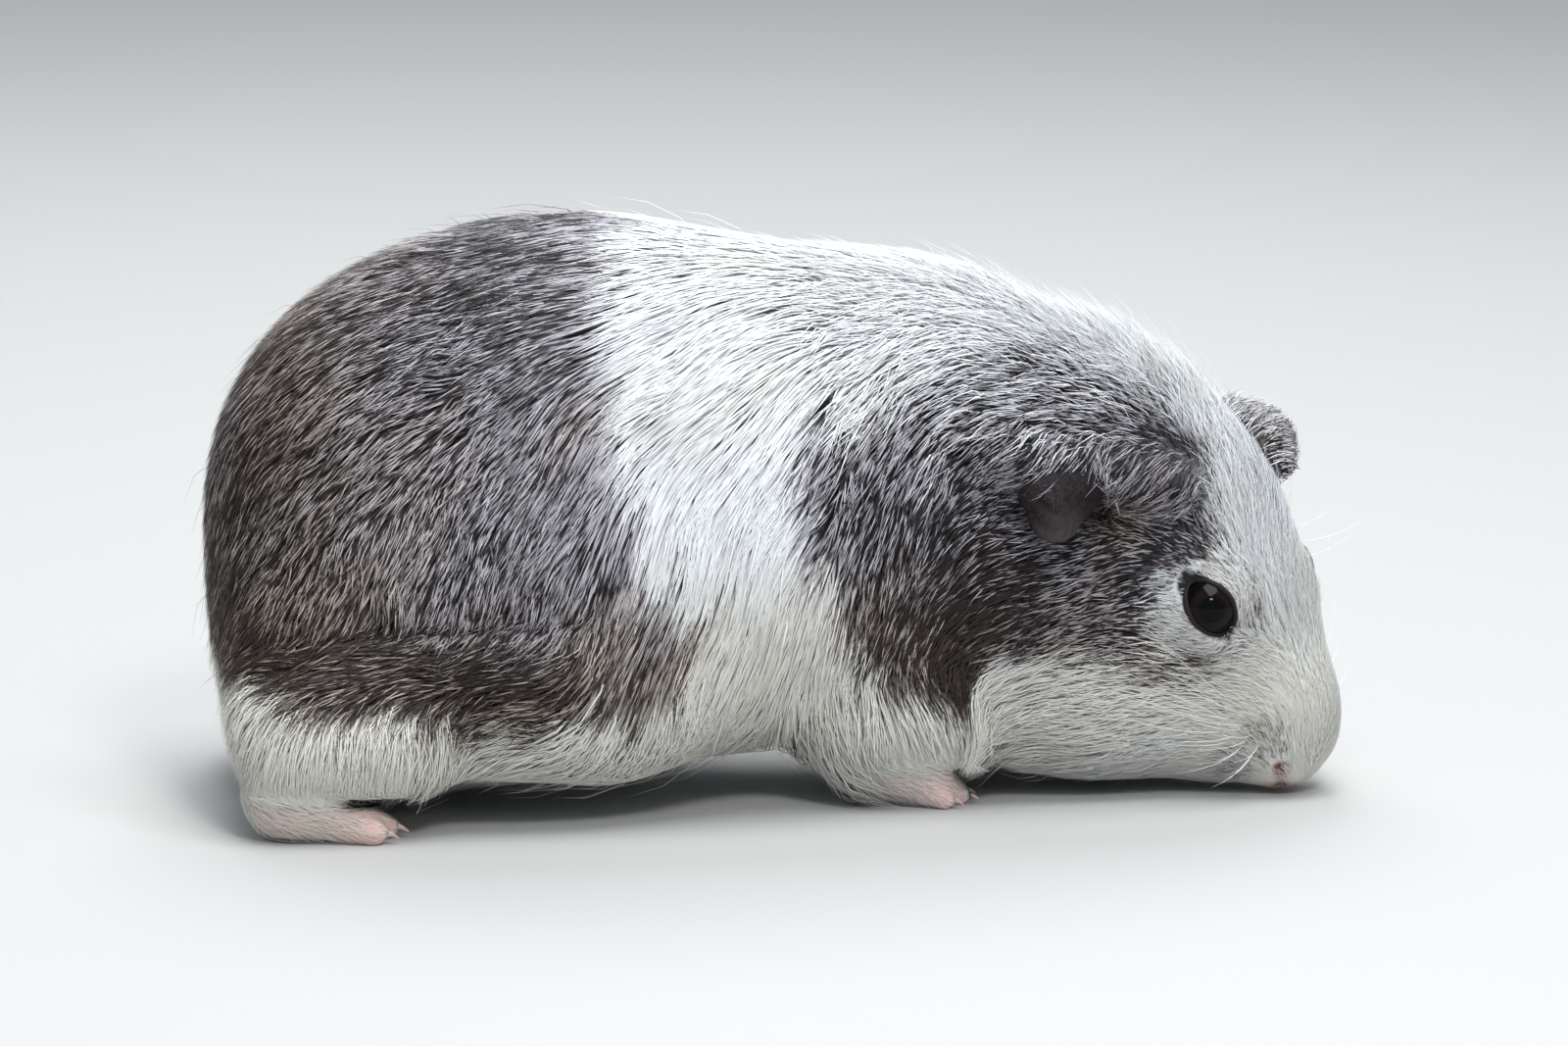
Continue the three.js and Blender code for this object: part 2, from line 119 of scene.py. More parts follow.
# Head axes: forwards to the nose, to the left, up to the crown. The nose pad lies this much
# forwards of and below the line between the eyes, which itself lies before and above the centre.
# The eyeballs then sit a little forwards of the CAD's.
NOSE_FROM_EYES = (30.8, -13.0)
EYES_FROM_CENTRE = (7.0, 11.4)
EYES_FORWARDS = 0.6
between_eyes = (EYE_AT["left"] + EYE_AT["right"]) / 2
HEAD_LEFT = unit(EYE_AT["left"] - EYE_AT["right"])
to_nose = NOSE_AT - between_eyes
to_nose = unit(to_nose - dot(to_nose, HEAD_LEFT) * HEAD_LEFT)
tip_down = math.atan2(-NOSE_FROM_EYES[1], NOSE_FROM_EYES[0])
square_up = np.cross(to_nose, HEAD_LEFT)
HEAD_FORE = to_nose * math.cos(tip_down) + square_up * math.sin(tip_down)
HEAD_UP = np.cross(HEAD_FORE, HEAD_LEFT)
HEAD_AXES = np.stack([HEAD_FORE, HEAD_LEFT, HEAD_UP])
HEAD_CENTRE = between_eyes - EYES_FROM_CENTRE[0] * HEAD_FORE - EYES_FROM_CENTRE[1] * HEAD_UP
EYE_AT = {name: at + EYES_FORWARDS * HEAD_FORE for name, at in EYE_AT.items()}


def in_head(p):
    return (p - HEAD_CENTRE) @ HEAD_AXES.T


def from_head(q):
    return np.asarray(q, float) @ HEAD_AXES + HEAD_CENTRE


# How far round a foot's middle its leg fades out, the heights between which it fades into the
# trunk, and how far behind the foot's middle the leg stands.
LEG_REACH = {"hind": (28, 20), "fore": (19, 13)}
LEG_HEIGHTS = (32, 14)
LEG_BACK = 3


def legness(p):
    """1 on the feet and shanks, 0 on the trunk."""
    w = toe_nearness(p)
    for name, foot in FEET.items():
        away = np.hypot(p[:, 0] - foot[0] + LEG_BACK, p[:, 1] - foot[1])
        w = np.maximum(w, ramp(*LEG_REACH[name[:4]], away) * ramp(*LEG_HEIGHTS, p[:, 2]))
    return w


def toe_nearness(p):
    """0 on a foot's heel, 1 on its toes."""
    w = np.zeros(len(p))
    for name in FEET:
        low, high = box_mm(name)
        along = (p[:, 0] - low[0]) / (high[0] - low[0])
        w = np.maximum(w, ramp(0.42, 0.85, along) * ramp(3, 1, box_distance(name, p)))
    return w


def eye_distance(p):
    return np.minimum(*(norm(p - at) for at in EYE_AT.values()))


# The opening between the lids: half its length and height as degrees on the ball, with its long
# way running to the nose. The eye looks out, up and a little forwards.
EYE_LOOKS = {"right": (0.24, -0.79, 0.50), "left": (0.24, 0.79, 0.50)}
EYE_OPENING = (68.0, 38.0)
ALMOND = 1.7  # 2 is an ellipse, less is more pointed


def eye_frame(name):
    """The eye's own axes: along the opening to the nose, across it, and outwards."""
    out = unit(np.array(EYE_LOOKS[name]) @ HEAD_AXES)
    way = HEAD_FORE + 0.12 * HEAD_UP
    fore = unit(way - (way @ out) * out)
    return np.stack([fore, np.cross(out, fore), out])


def opening_edge(turn):
    """The polar angle of the lids' edge for each turn about the way the eye looks, in radians."""
    half, tall = np.radians(EYE_OPENING)
    parts = (np.abs(np.cos(turn)) / half) ** ALMOND + (np.abs(np.sin(turn)) / tall) ** ALMOND
    return parts ** (-1 / ALMOND)


def about_eye(p, name):
    """Each point's turn about the way the eye looks, its angle from there and its distance."""
    q = (p - EYE_AT[name]) @ eye_frame(name).T
    reach = norm(q)
    polar = np.arccos(np.clip(q[:, 2] / np.maximum(reach, 1e-6), -1, 1))
    return np.arctan2(q[:, 1], q[:, 0]), polar, reach


def lid_gap(p, name):
    """How far along the eyeball each point is beyond the edge of the opening, in millimetres."""
    turn, polar, reach = about_eye(p, name)
    gap = (polar - opening_edge(turn)) * EYE_RADIUS
    return np.where(reach < 2 * EYE_RADIUS, gap + 0.6 * np.maximum(reach - EYE_RADIUS - 1.5, 0), 99)


def eye_gap(p):
    """The gap to the nearer eye's opening, less where its two corners run on as dark skin."""
    gaps = []
    for name in SIDES:
        turn = about_eye(p, name)[0]
        corner = np.abs(np.cos(turn)) ** 8
        gaps.append(lid_gap(p, name) - 0.3 * corner + 0.25 * np.cos(turn))
    return np.minimum(*gaps)


# ---- markings


def folded(p):
    """Points of the left side as if they were on the right, how far each is from the middle, on
    which side, and the way across. The middle plane is the trunk's and bends to the head's."""
    w = ramp(35, 60, p[:, 0])[:, None]
    side = mix(p[:, 1:2], in_head(p)[:, 1:2], w)
    across = unit(mix(np.array([0, 1, 0]), HEAD_LEFT, w))
    mirrored = p - 2 * side * across
    return np.where(side > 0, mirrored, p), np.abs(side[:, 0]), side[:, 0], across


def grey_margin(p):
    """How far inside the grey patches a place at the tips of the coat is; below 0 it is white."""
    q, off, side, _ = folded(p)
    x, z = q[:, 0], q[:, 2]
    left = ramp(-6, 6, side)
    off = off + 12 * left * np.exp(-(((p[:, 0] - 46) / 17) ** 2))
    x = x + wobble(p, 42, 3) * 1.6 + left * (3 + 4 * wobble(p, 60, 11))
    z = z + wobble(p, 38, 5) * 1.5 + left * 3 * wobble(p, 50, 12)

    rear_front = -35 + 5.5 * ramp(70, 58, z) + 8 * ramp(46, 36, z) + 5 * ramp(105, 110, z)
    rear_low = 18.5 + 4.5 * ramp(-70, -79, x) + 5 * ramp(-93, -99, x) + 5 * ramp(-32, -23, x)
    rear = np.minimum(rear_front - x, z - rear_low)

    back_edge = -2.6 + 8 * (1 - np.exp(-(((z - 62) / 18) ** 2)))
    under_neck = 30 - 0.47 * x
    over_cheek = 31 - 0.17 * (x - 38)
    low_edge = mix(under_neck, over_cheek, ramp(31, 37, x))
    front_edge = 79.5 - 12.3 * ramp(48, 45, z) + 8 * ramp(33, 28, z) + 4 * ramp(30, 26, z)
    blaze = 38 - 0.42 * np.maximum(x - 10, 0)
    front = np.minimum.reduce([x - back_edge, z - low_edge, front_edge - x, off - blaze])
    return np.maximum(rear, front)


def warmth(p):
    """How brown the grey is and how cream the white is."""
    low = ramp(60, 18, p[:, 2])
    rear = ramp(-50, -100, p[:, 0])
    return np.clip(0.8 * low + 0.7 * rear + 0.3 * wobble(p, 30, 21), 0, 1)


# ---- meshes


def mesh_of(name, points, faces):
    mesh = bpy.data.meshes.new(name)
    mesh.from_pydata((np.asarray(points, float) * MM).tolist(), [], faces)
    mesh.update()
    return mesh


def fetched(items, key, width, kind=float):
    values = np.empty(len(items) * width, kind)
    items.foreach_get(key, values)
    return values.reshape(-1, width)


def arrays(mesh):
    """A mesh's vertices in millimetres, and its edges."""
    return fetched(mesh.vertices, "co", 3) / MM, fetched(mesh.edges, "vertices", 2, int)


def corners(mesh):
    """The vertices of each face of a mesh of quads."""
    return fetched(mesh.loops, "vertex_index", 1, int).reshape(-1, 4)


def areas(points, quads):
    a, b, c, d = (points[quads[:, k]] for k in range(4))
    return 0.5 * norm(np.cross(c - a, d - b))


def put(mesh, points):
    mesh.vertices.foreach_set("co", (points * MM).astype(np.float32).ravel())
    mesh.update()


def normals_of(mesh, rounds=0):
    """The vertex normals, averaged over their neighbours for some rounds."""
    mesh.update()
    normals = fetched(mesh.vertices, "normal", 3)
    return unit(spread(normals, arrays(mesh)[1], rounds)) if rounds else normals


def spread(values, edges, rounds, keep=0.5):
    """Averages values over neighbouring vertices, `rounds` times."""
    i, j = edges[:, 0], edges[:, 1]
    count = len(values)
    degree = np.maximum(np.bincount(i, minlength=count) + np.bincount(j, minlength=count), 1)
    values = values.reshape(count, -1).copy()
    keep = np.broadcast_to(keep, count)
    for _ in range(rounds):
        for k in range(values.shape[1]):
            column = values[:, k]
            total = np.bincount(i, column[j], count) + np.bincount(j, column[i], count)
            values[:, k] = keep * column + (1 - keep) * total / degree
    return values


def placed(name, data, paint=None):
    """A new object in the scene, with a mesh and its material, a lamp or a camera."""
    if paint:
        data.materials.append(paint)
    piece = bpy.data.objects.new(name, data)
    bpy.context.scene.collection.objects.link(piece)
    return piece


def evaluated(piece):
    """The piece's mesh with its modifiers applied, in a mesh of its own; the piece is removed."""
    graph = bpy.context.evaluated_depsgraph_get()
    mesh = bpy.data.meshes.new_from_object(piece.evaluated_get(graph))
    bpy.data.objects.remove(piece)
    return mesh


def welded(node, grow=0.0):
    """A copy of a CAD node's mesh with its shared points joined, moved out by `grow`."""
    work = bmesh.new()
    work.from_mesh(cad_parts[node].data)
    bmesh.ops.remove_doubles(work, verts=work.verts, dist=1e-5)
    mesh = bpy.data.meshes.new(node + "_copy")
    work.to_mesh(mesh)
    work.free()
    points, _ = arrays(mesh)
    put(mesh, points + grow * normals_of(mesh))
    return mesh


def joined(meshes):
    """One mesh of several, as they lie."""
    points, faces, first = [], [], 0
    for mesh in meshes:
        points.append(arrays(mesh)[0])
        faces += [[v + first for v in polygon.vertices] for polygon in mesh.polygons]
        first += len(points[-1])
    return mesh_of("joined", np.concatenate(points), faces)


def modified(mesh, kind, **settings):
    piece = placed(kind, mesh)
    modifier = piece.modifiers.new(kind, kind)
    for key, value in settings.items():
        setattr(modifier, key, value)
    return evaluated(piece)


def remeshed(mesh, voxel):
    return modified(mesh, "REMESH", mode="VOXEL", voxel_size=voxel * MM)


def subdivided(mesh, levels):
    return modified(mesh, "SUBSURF", levels=levels)


def smooth_shaded(mesh):
    mesh.polygons.foreach_set("use_smooth", np.ones(len(mesh.polygons), bool))
    mesh.update()
    return mesh


def add_floats(mesh, **columns):
    for name, values in columns.items():
        attribute = mesh.attributes.new(name, "FLOAT", "POINT")
        attribute.data.foreach_set("value", np.ascontiguousarray(values, dtype=np.float32))


# ---- the coat's depth and lie

# The fold over the right thigh.
CREASE = np.array([[-97, -41, 31], [-87, -45, 37], [-66, -47.5, 38.5], [-38, -47.6, 39]])


def crease_distance(p):
    """How far each point is from the fold over the thigh."""
    q = folded(p)[0]
    gaps = [from_segment(q, a, b) for a, b in zip(CREASE[:-1], CREASE[1:])]
    return np.minimum.reduce([norm(gap) for gap in gaps])


# For each ear in head axes, `root` is the line it grows from, `fold` the fold of skin over its
# opening, and `pit` the opening. `lift` moves it from the CAD's ear, `spread` is how much longer it
# is, `lobe` how far its lobe's middle is forwards of the root's, `blunt` how much broader the lobe
# ends, and `droop` moves its front in head axes. Its hairs are `depth` high, `furred` is how far out
# from the root they are dense, `down` how dense fine ones are everywhere, `grey` what part are grey
# and `tick` how much paler.
EARS = {
    "ear_right": dict(
        root=((-15, -18, 19.5), (-31, -36, 4)),
        fold=((-22.5, -26.2, 15.1), (-18.7, -23.9, 17.3), (-14.9, -20.6, 20.3)),
        pit=(-15.6, -26.6, 10.0), lift=(-0.8, 0, 2.3), spread=0.13, lobe=-7.0, blunt=0.6,
        droop=(0, 0, 0), depth=0.25, furred=3.5, down=0.55, grey=1.0, tick=-1.0),
    "ear_left": dict(
        root=((-11, 18, 21), (-29, 22, 8)),
        fold=((-20, 20.5, 17.5), (-15, 20, 20), (-11, 19.5, 21.5)),
        pit=(-13.5, 23.5, 14.0), lift=(0, 0, -0.4), spread=-0.05, lobe=-2.0, blunt=0.3,
        droop=(3.4, 0.2, -1.0), depth=1.6, furred=30.0, down=0.0, grey=0.72, tick=0.06),
}


def from_root(p, name):
    """The way to each point from the line along which an ear grows."""
    front, back = (from_head(end) for end in EARS[name]["root"])
    return from_segment(p, back, front)


def root_distance(p, name):
    return norm(from_root(p, name))


def ear_nearness(p, name):
    return ramp(11, 4.5, root_distance(p, name))


def above_ear(q):
    """1 just above the near ear's root, where the hair falls over the ear."""
    a, _, u = in_head(q).T
    return ramp(9, 4, root_distance(q, "ear_right")) * ramp(-2, 3, u - 11 + 0.45 * (-20 - a))


def ear_pit(q, name):
    """1 at the ear's opening and 0 beside it, in head axes."""
    return np.exp(-((norm(q - EARS[name]["pit"]) / 4.6) ** 2))


def coat_depth(p):
    """How far the tips stand over the skin."""
    q = in_head(p)
    a, s, u = q.T
    x, _, z = p.T
    foot = legness(p) * ramp(9.5, 5.5, z)
    depth = mix(4.2, 2.8, ramp(-38, -4, a) * ramp(30, 55, x))
    depth = mix(depth, 1.9, ramp(0, 14, a) * ramp(40, 60, x))
    depth = mix(depth, 0.8, ramp(18, 34, a))
    cheek = ramp(6, 14, np.abs(s)) * ramp(14, 2, u) * ramp(30, 12, a)
    depth = depth + 0.9 * cheek * ramp(40, 60, x)
    for wanted, where in (
            (0.55, ramp(12, 6.8, eye_distance(p))),
            (1.9, ear_nearness(p, "ear_right")),
            (3.4, ear_nearness(p, "ear_left")),
            (0.6, ear_pit(q, "ear_right")),
            (3.4, ramp(20, 8, z) * ramp(60, 30, x)),
            (1.0, legness(p)),
            (mix(0.8, 0.35, toe_nearness(p)), foot),
            (0.12, ramp(9.5, 6.5, norm(p - NOSE_AT)))):
        depth = mix(depth, wanted, where)
    return depth


NOSE_TIP = (41, 0, 0)  # in head axes; the hair parts from it


def lie(p):
    """Which way the hair lies, before it is laid along the skin."""
    q, _, side, across = folded(p)
    x, y, z = q.T
    a, s, u = in_head(q).T
    steep = mix(27, 70, ramp(100, 44, z))  # how far below straight back it points, in degrees
    for angle, where in (
            (84, ramp(34, 22, z) * ramp(-28, -16, x)),
            (12, ramp(40, 34, z) * ramp(-34, -48, x)),
            (14, ramp(20, 11, z) * ramp(45, 25, np.abs(y))),
            (11, ramp(18, 44, x) * ramp(20, 34, z + ramp(35, 50, x) * 40))):
        steep = mix(steep, angle, where)
    crown = ramp(4, 24, u) * ramp(-42, -12, a) * ramp(30, 50, x)
    steep = steep - 74 * crown - 20 * ramp(-8, 20, a) * (1 - crown) * ramp(40, 55, x)
    steep = np.radians(steep)
    way = np.stack([-np.cos(steep), np.zeros(len(p)), -np.sin(steep)], 1)
    way = mix(way, -HEAD_FORE, (ramp(13, 3, np.abs(s)) * ramp(45, 62, x))[:, None])
    from_tip = q - from_head(NOSE_TIP)
    way = mix(way, unit(from_tip), ramp(24, 12, norm(from_tip))[:, None])
    from_eye = q - EYE_AT["right"]
    ahead = ramp(-0.2, 0.6, -dot(unit(from_eye), unit(way)))
    way = unit(way) + 1.1 * ramp(13, 7, norm(from_eye))[:, None] * ahead * unit(from_eye)
    down = np.stack([mix(-0.25, 0.35, ramp(-20, 10, x)), 0 * x, 0 * x - 1], 1)
    for wanted, where in (
            ((-0.55, -0.3, -0.8), 0.8 * above_ear(q)),
            ((-0.85, -0.3, 0.5), ear_pit(in_head(q), "ear_right")),
            (down, np.maximum(legness(p), fringe(p))),
            ((1.0, 0, -0.25), legness(p) * ramp(13, 8, p[:, 2]))):
        way = mix(way, np.array(wanted), where[:, None])
    return unit(np.where(side[:, None] > 0, way - 2 * dot(way, across) * across, way))


# ---- the skin

FLESH = [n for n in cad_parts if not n.startswith("eye") and "_claw_" not in n]
OUTLINE_VOXEL, SKIN_VOXEL = 1.0, 0.62
GROWN, EAR_GROWN = 0.25, 0.12  # how far the CAD's nodes are moved out first


def outline():
    """The flesh nodes without the ears as one smooth surface, out to the tips of the coat. It is
    smoothed least on the toes, the nose and the face, and swells back after each smoothing."""
    body = [welded(n, GROWN) for n in FLESH if n not in EARS]
    body += [hock_filler(n) for n in FEET if n.startswith("hind")]
    mesh = remeshed(joined(body), OUTLINE_VOXEL)
    points, edges = arrays(mesh)
    toes = legness(points) * ramp(13, 9, points[:, 2])
    still = np.clip(toes + ramp(15, 8, norm(points - NOSE_AT)), 0, 1)
    face = 0.8 * ramp(-5, 15, in_head(points)[:, 0])
    points = spread(points, edges, 3)
    keep = mix(0.5, 1.0, np.maximum(still, face))
    for _ in range(3):
        low = spread(points, edges, 40, keep)
        points = low + (low - spread(low, edges, 12, keep)) * 0.9
    put(mesh, points)
    return mesh


def turns(steps):
    return np.linspace(0, 2 * math.pi, steps, endpoint=False)


def pointing(polar, turn):
    """The direction at an angle from the last axis, turned about it from the first."""
    return np.stack([np.sin(polar) * np.cos(turn), np.sin(polar) * np.sin(turn), np.cos(polar)], -1)


def ball(centre, axes, radii, steps=64):
    """A closed ball; `radii` gives its radius for polar angles from the last axis."""
    polar = np.linspace(0, math.pi, steps // 2 + 1)
    t, f = np.meshgrid(polar[1:-1], turns(steps), indexing="ij")
    spots = (pointing(t, f) * radii(t)[..., None]).reshape(-1, 3)
    ends = [[0, 0, radii(0.0)], [0, 0, -radii(math.pi)]]
    points = np.concatenate([spots, ends]) @ axes + centre
    rows = len(polar) - 2
    faces = []
    for k in range(steps):
        n = (k + 1) % steps
        faces += [[r * steps + k, (r + 1) * steps + k, (r + 1) * steps + n, r * steps + n]
                  for r in range(rows - 1)]
        last = (rows - 1) * steps
        faces += [[rows * steps, k, n], [rows * steps + 1, last + n, last + k]]
    return mesh_of("ball", points, faces)


HOCK_RADII = (10.0, 7.0, 5.5)
HOCK_PLACE = (0.34, 8.0)  # what part of the foot's length from its heel, and how high


def hock_filler(foot):
    """The loose skin between a hind foot's heel and the thigh over it."""
    low, high = box_mm(foot)
    centre = [mix(low[0], high[0], HOCK_PLACE[0]), (low[1] + high[1]) / 2, HOCK_PLACE[1]]
    return ball(np.array(centre), np.diag(HOCK_RADII), lambda t: 1 + 0 * t)


LID_BULGE = 0.4  # how far the skin beside the lids stands over the eyeball
CREASE_DEEP, CREASE_WIDE = 2.2, 3.0
TOE_SWELL = 0.75  # how much less the skin of the toes lies under the outline


def skin_mesh():
    mesh = outline()
    points, edges = arrays(mesh)
    normals = normals_of(mesh, 6)
    groove = CREASE_DEEP * np.exp(-((crease_distance(points) / CREASE_WIDE) ** 2))
    groove = groove * np.where(points[:, 1] < 0, 1, 0.8)
    depth = spread(coat_depth(points), edges, 4)[:, 0]
    swell = TOE_SWELL * toe_nearness(points)
    put(mesh, points - (depth + groove - swell)[:, None] * normals)

    sockets = [ball(EYE_AT[name], eye_frame(name), lambda t: EYE_RADIUS + LID_BULGE + 0 * t)
               for name in SIDES]
    whole = remeshed(joined([mesh, *sockets]), SKIN_VOXEL)
    points, edges = arrays(whole)
    points = spread(points, edges, 3)
    near_eye = ramp(13, 10, eye_distance(points)) * ramp(0, 2, eye_gap(points))
    points = spread(points, edges, 12, 1 - 0.5 * near_eye)
    points = with_openings(points)
    put(whole, points)
    points = with_ear_folds(points, normals_of(whole, 4))
    points = with_nose_and_mouth(points)
    points[:, 2] = np.maximum(points[:, 2], 0)
    put(whole, points)
    return whole


OPENING_DEEP = 1.4  # how far the skin lies inside the eyeball there


def with_openings(points):
    """The skin pressed in behind each eye's opening, and held over the ball beside it."""
    for name in SIDES:
        away = points - EYE_AT[name]
        reach = np.linalg.norm(away, axis=1, keepdims=True)
        gap = lid_gap(points, name)
        outside = np.maximum(reach[:, 0], EYE_RADIUS + LID_BULGE * ramp(5, 3, gap))
        wanted = mix(EYE_RADIUS - OPENING_DEEP, outside, ramp(0.3, 1.3, gap))
        inside = (gap < 6) & (reach[:, 0] < EYE_RADIUS + 2.5)
        points = np.where(inside[:, None], EYE_AT[name] + away / reach * wanted[:, None], points)
    return points


NOSTRIL = np.array([40.6, 5.4, 0.2])
NOSTRIL_DEEP, MOUTH_DEEP = 2.6, 0.9
FOLD_HIGH, PIT_DEEP = 2.6, 4.4  # of the ears


def slit(q, a, b, wide):
    """1 in a groove from a to b in head axes, and 0 beside it."""
    return ramp(wide, 0, norm(from_segment(q, a, b)))


def both_sides(q):
    """Places in head axes as if they were all on the left."""
    return np.stack([q[:, 0], np.abs(q[:, 1]), q[:, 2]], 1)


def nostril_depth(q, wide=2.4):
    return slit(both_sides(q), NOSTRIL + (0.8, -1.6, -1.6), NOSTRIL + (-1.4, 1.9, 2.0), wide)


def mouth_depth(q):
    q = both_sides(q)
    cleft = slit(q, (43.5, 0, -3.5), (39.5, 0, -10), 1.3)
    return np.maximum(cleft, slit(q, (39.5, 0, -10), (29, 8.5, -13), 1.5))


def with_ear_folds(points, normals):
    """The skin raised in a fold over each ear's opening and sunk below it."""
    q = in_head(points)
    for name in EARS:
        a, b, c = EARS[name]["fold"]
        fold = np.maximum(slit(q, a, b, 4.2), slit(q, b, c, 4.2))
        points = points + (FOLD_HIGH * fold - PIT_DEEP * ear_pit(q, name))[:, None] * normals
    return points


def with_nose_and_mouth(points):
    q = in_head(points)
    inwards = unit(from_head([26, 0, -4]) - points)
    press = NOSTRIL_DEEP * nostril_depth(q, 1.9) + MOUTH_DEEP * mouth_depth(q)
    return points + press[:, None] * inwards


def ear_flow(name):
    """Hair on an ear runs out from its root towards the rim."""
    return lambda p: unit(from_root(p, name))


EAR_VOXEL = 0.32
ROOT_SINKS = 4.5  # how deep in the head an ear's root ends


def ear_mesh(name, head):
    """An ear as a thin curved sheet with its root inside the head, and for each point how far
    out from the root it is and how far to the front."""
    ear = remeshed(subdivided(welded(name, EAR_GROWN), 1), EAR_VOXEL)
    sheet, edges = arrays(ear)
    sheet = spread(sheet, edges, 3)
    front, back = (from_head(end) for end in EARS[name]["root"])
    for k, point in enumerate(sheet):
        _, normal, _, gap = head.find_nearest(Vector(point))
        sunk = ROOT_SINKS * float(ramp(2.2, 0.3, gap))
        sheet[k] = point - sunk * np.array(normal)
    out = spread(root_distance(sheet, name), edges, 2)[:, 0]
    along = unit(front - back)
    forward = (sheet - (front + back) / 2) @ along
    sheet = sheet + (EARS[name]["spread"] * ramp(1, 8, out) * out)[:, None] * ear_flow(name)(sheet)
    blunt = EARS[name]["blunt"] * ramp(11, 19, out) * (forward - EARS[name]["lobe"])
    droop = np.array(EARS[name]["droop"]) @ HEAD_AXES
    sheet = sheet + blunt[:, None] * along + ramp(-1, 9, forward)[:, None] * droop
    forward = forward + blunt
    normals = normals_of(ear, 2)
    crinkle = 0.16 * wobble(sheet, 5.5, 61) * ramp(1, 6, out) + 0.10 * wobble(sheet, 2.6, 62)
    put(ear, sheet + crinkle[:, None] * normals + EARS[name]["lift"])
    return ear, out, forward


LID_RING = [(0.0, 0.03), (0.05, 0.26), (0.25, 0.42), (0.6, 0.50), (1.0, 0.46), (1.3, 0.38), (1.6, 0.28),
            (2.0, 0.05), (2.4, -0.3), (2.4, -0.9), (1.5, -1.1), (0.3, -0.7)]


def lid_mesh(name, steps=112):
    """The lids as one smooth ring round the opening; each pair of LID_RING is how far beyond the
    edge and how far over the eyeball."""
    turn = turns(steps)
    edge = opening_edge(turn)
    rings = []
    for beyond, over in LID_RING:
        polar = edge + beyond / EYE_RADIUS
        reach = EYE_RADIUS + over + 0.05 * np.sin(turn * 9 + beyond * 3) * (beyond > 0.5)
        rings.append(pointing(polar, turn) * reach[:, None])
    faces = []
    for r in range(len(rings)):
        this, after = r * steps, (r + 1) % len(rings) * steps
        faces += [[after + k, after + (k + 1) % steps, this + (k + 1) % steps, this + k]
                  for k in range(steps)]
    return mesh_of("lids", np.concatenate(rings) @ eye_frame(name) + EYE_AT[name], faces)


SKIN_KEEP = 0.36  # what part of the hidden faces stay


def thinned(mesh):
    """The skin with fewer faces where the coat hides it."""
    points, _ = arrays(mesh)
    bare = np.clip(legness(points) * ramp(16, 10, points[:, 2])
                   + ramp(14, 10, norm(points - NOSE_AT))
                   + ramp(13, 11, eye_distance(points)), 0, 1)
    piece = placed("thin", mesh)
    group = piece.vertex_groups.new(name="hidden")
    for level in range(5):
        group.add(np.flatnonzero(np.round((1 - bare) * 4) == level).tolist(), level / 4, "REPLACE")
    modifier = piece.modifiers.new("thin", "DECIMATE")
    modifier.ratio = SKIN_KEEP
    modifier.vertex_group = "hidden"
    modifier.vertex_group_factor = 1.0
    return evaluated(piece)


# ---- materials


class Paint:
    """A material with a Principled shader. Its methods add a node and return one output, and take a
    number, a colour, another node's output or the name of a mesh's column for any value."""

    def __init__(self, name, **settings):
        self.material = bpy.data.materials.new(name)
        self.material.use_nodes = True
        self.tree = self.material.node_tree
        self.shader = self.tree.nodes["Principled BSDF"]
        for key, value in settings.items():
            self.feed(key.replace("_", " "), value)

    def feed(self, socket, value):
        """Sets or links an input, which for the shader's own may be given by name."""
        if isinstance(socket, str):
            socket = self.shader.inputs[socket]
        if isinstance(value, bpy.types.NodeSocket):
            self.tree.links.new(value, socket)
        else:
            socket.default_value = value

    def node(self, kind, output, inputs=(), **settings):
        inputs = [(key, self.column(v) if isinstance(v, str) else v) for key, v in inputs]
        made = self.tree.nodes.new("ShaderNode" + kind)
        for key, value in settings.items():
            setattr(made, key, value)
        for key, value in inputs:
            self.feed(made.inputs[key], value)
        return made.outputs[output]

    def column(self, name):
        return self.node("Attribute", "Fac", attribute_name=name)

    def mix(self, a, b, factor):
        """A colour between a and b."""
        inputs = ("A", a), ("B", b), ("Factor", factor)
        return self.node("Mix", "Result", inputs, data_type="RGBA")

    def math(self, operation, a, b):
        return self.node("Math", "Value", ((0, a), (1, b)), operation=operation)

    def step(self, value, low, high, to_low=0.0, to_high=1.0):
        inputs = (("Value", value), ("From Min", low), ("From Max", high), ("To Min", to_low),
                  ("To Max", to_high))
        return self.node("MapRange", "Result", inputs, interpolation_type="SMOOTHSTEP")

    def noise(self, scale):
        """Noise in the object's own coordinates; scale is features per metre."""
        place = self.node("TexCoord", "Object")
        return self.node("TexNoise", "Fac", (("Scale", scale), ("Detail", 3.0), ("Vector", place)))

    def bump(self, height, strength, distance):
        inputs = ("Strength", strength), ("Distance", distance * MM), ("Height", height)
        self.feed("Normal", self.node("Bump", "Normal", inputs))


# ---- floor, light and camera


FLOOR_SIZE = 3000
FLOOR_COLOUR = (0.50, 0.50, 0.495, 1)
SKY_COLOUR, SKY_STRENGTH = (0.80, 0.90, 1.0, 1), 0.38
LIGHTS = (  # name, place and aim in metres, size in metres, watts
    ("key", (0.15, -0.26, 1.32), (0, 0, 0.05), 0.8, 16.5),
    ("rim", (0.0, 0.75, 1.1), (0, 0, 0.05), 0.8, 9),
    ("sparkle", (0.10, -0.80, 0.75), (0, 0, 0.05), 0.19, 4.2),
    ("back", (0.0, 1.7, 1.5), (0, 1.7, 0), 1.2, 8),
)


def aimed(piece, place, way):
    """Puts a lamp or camera in its place, looking that way."""
    piece.location = place
    piece.rotation_euler = way.to_track_quat("-Z", "Y").to_euler()


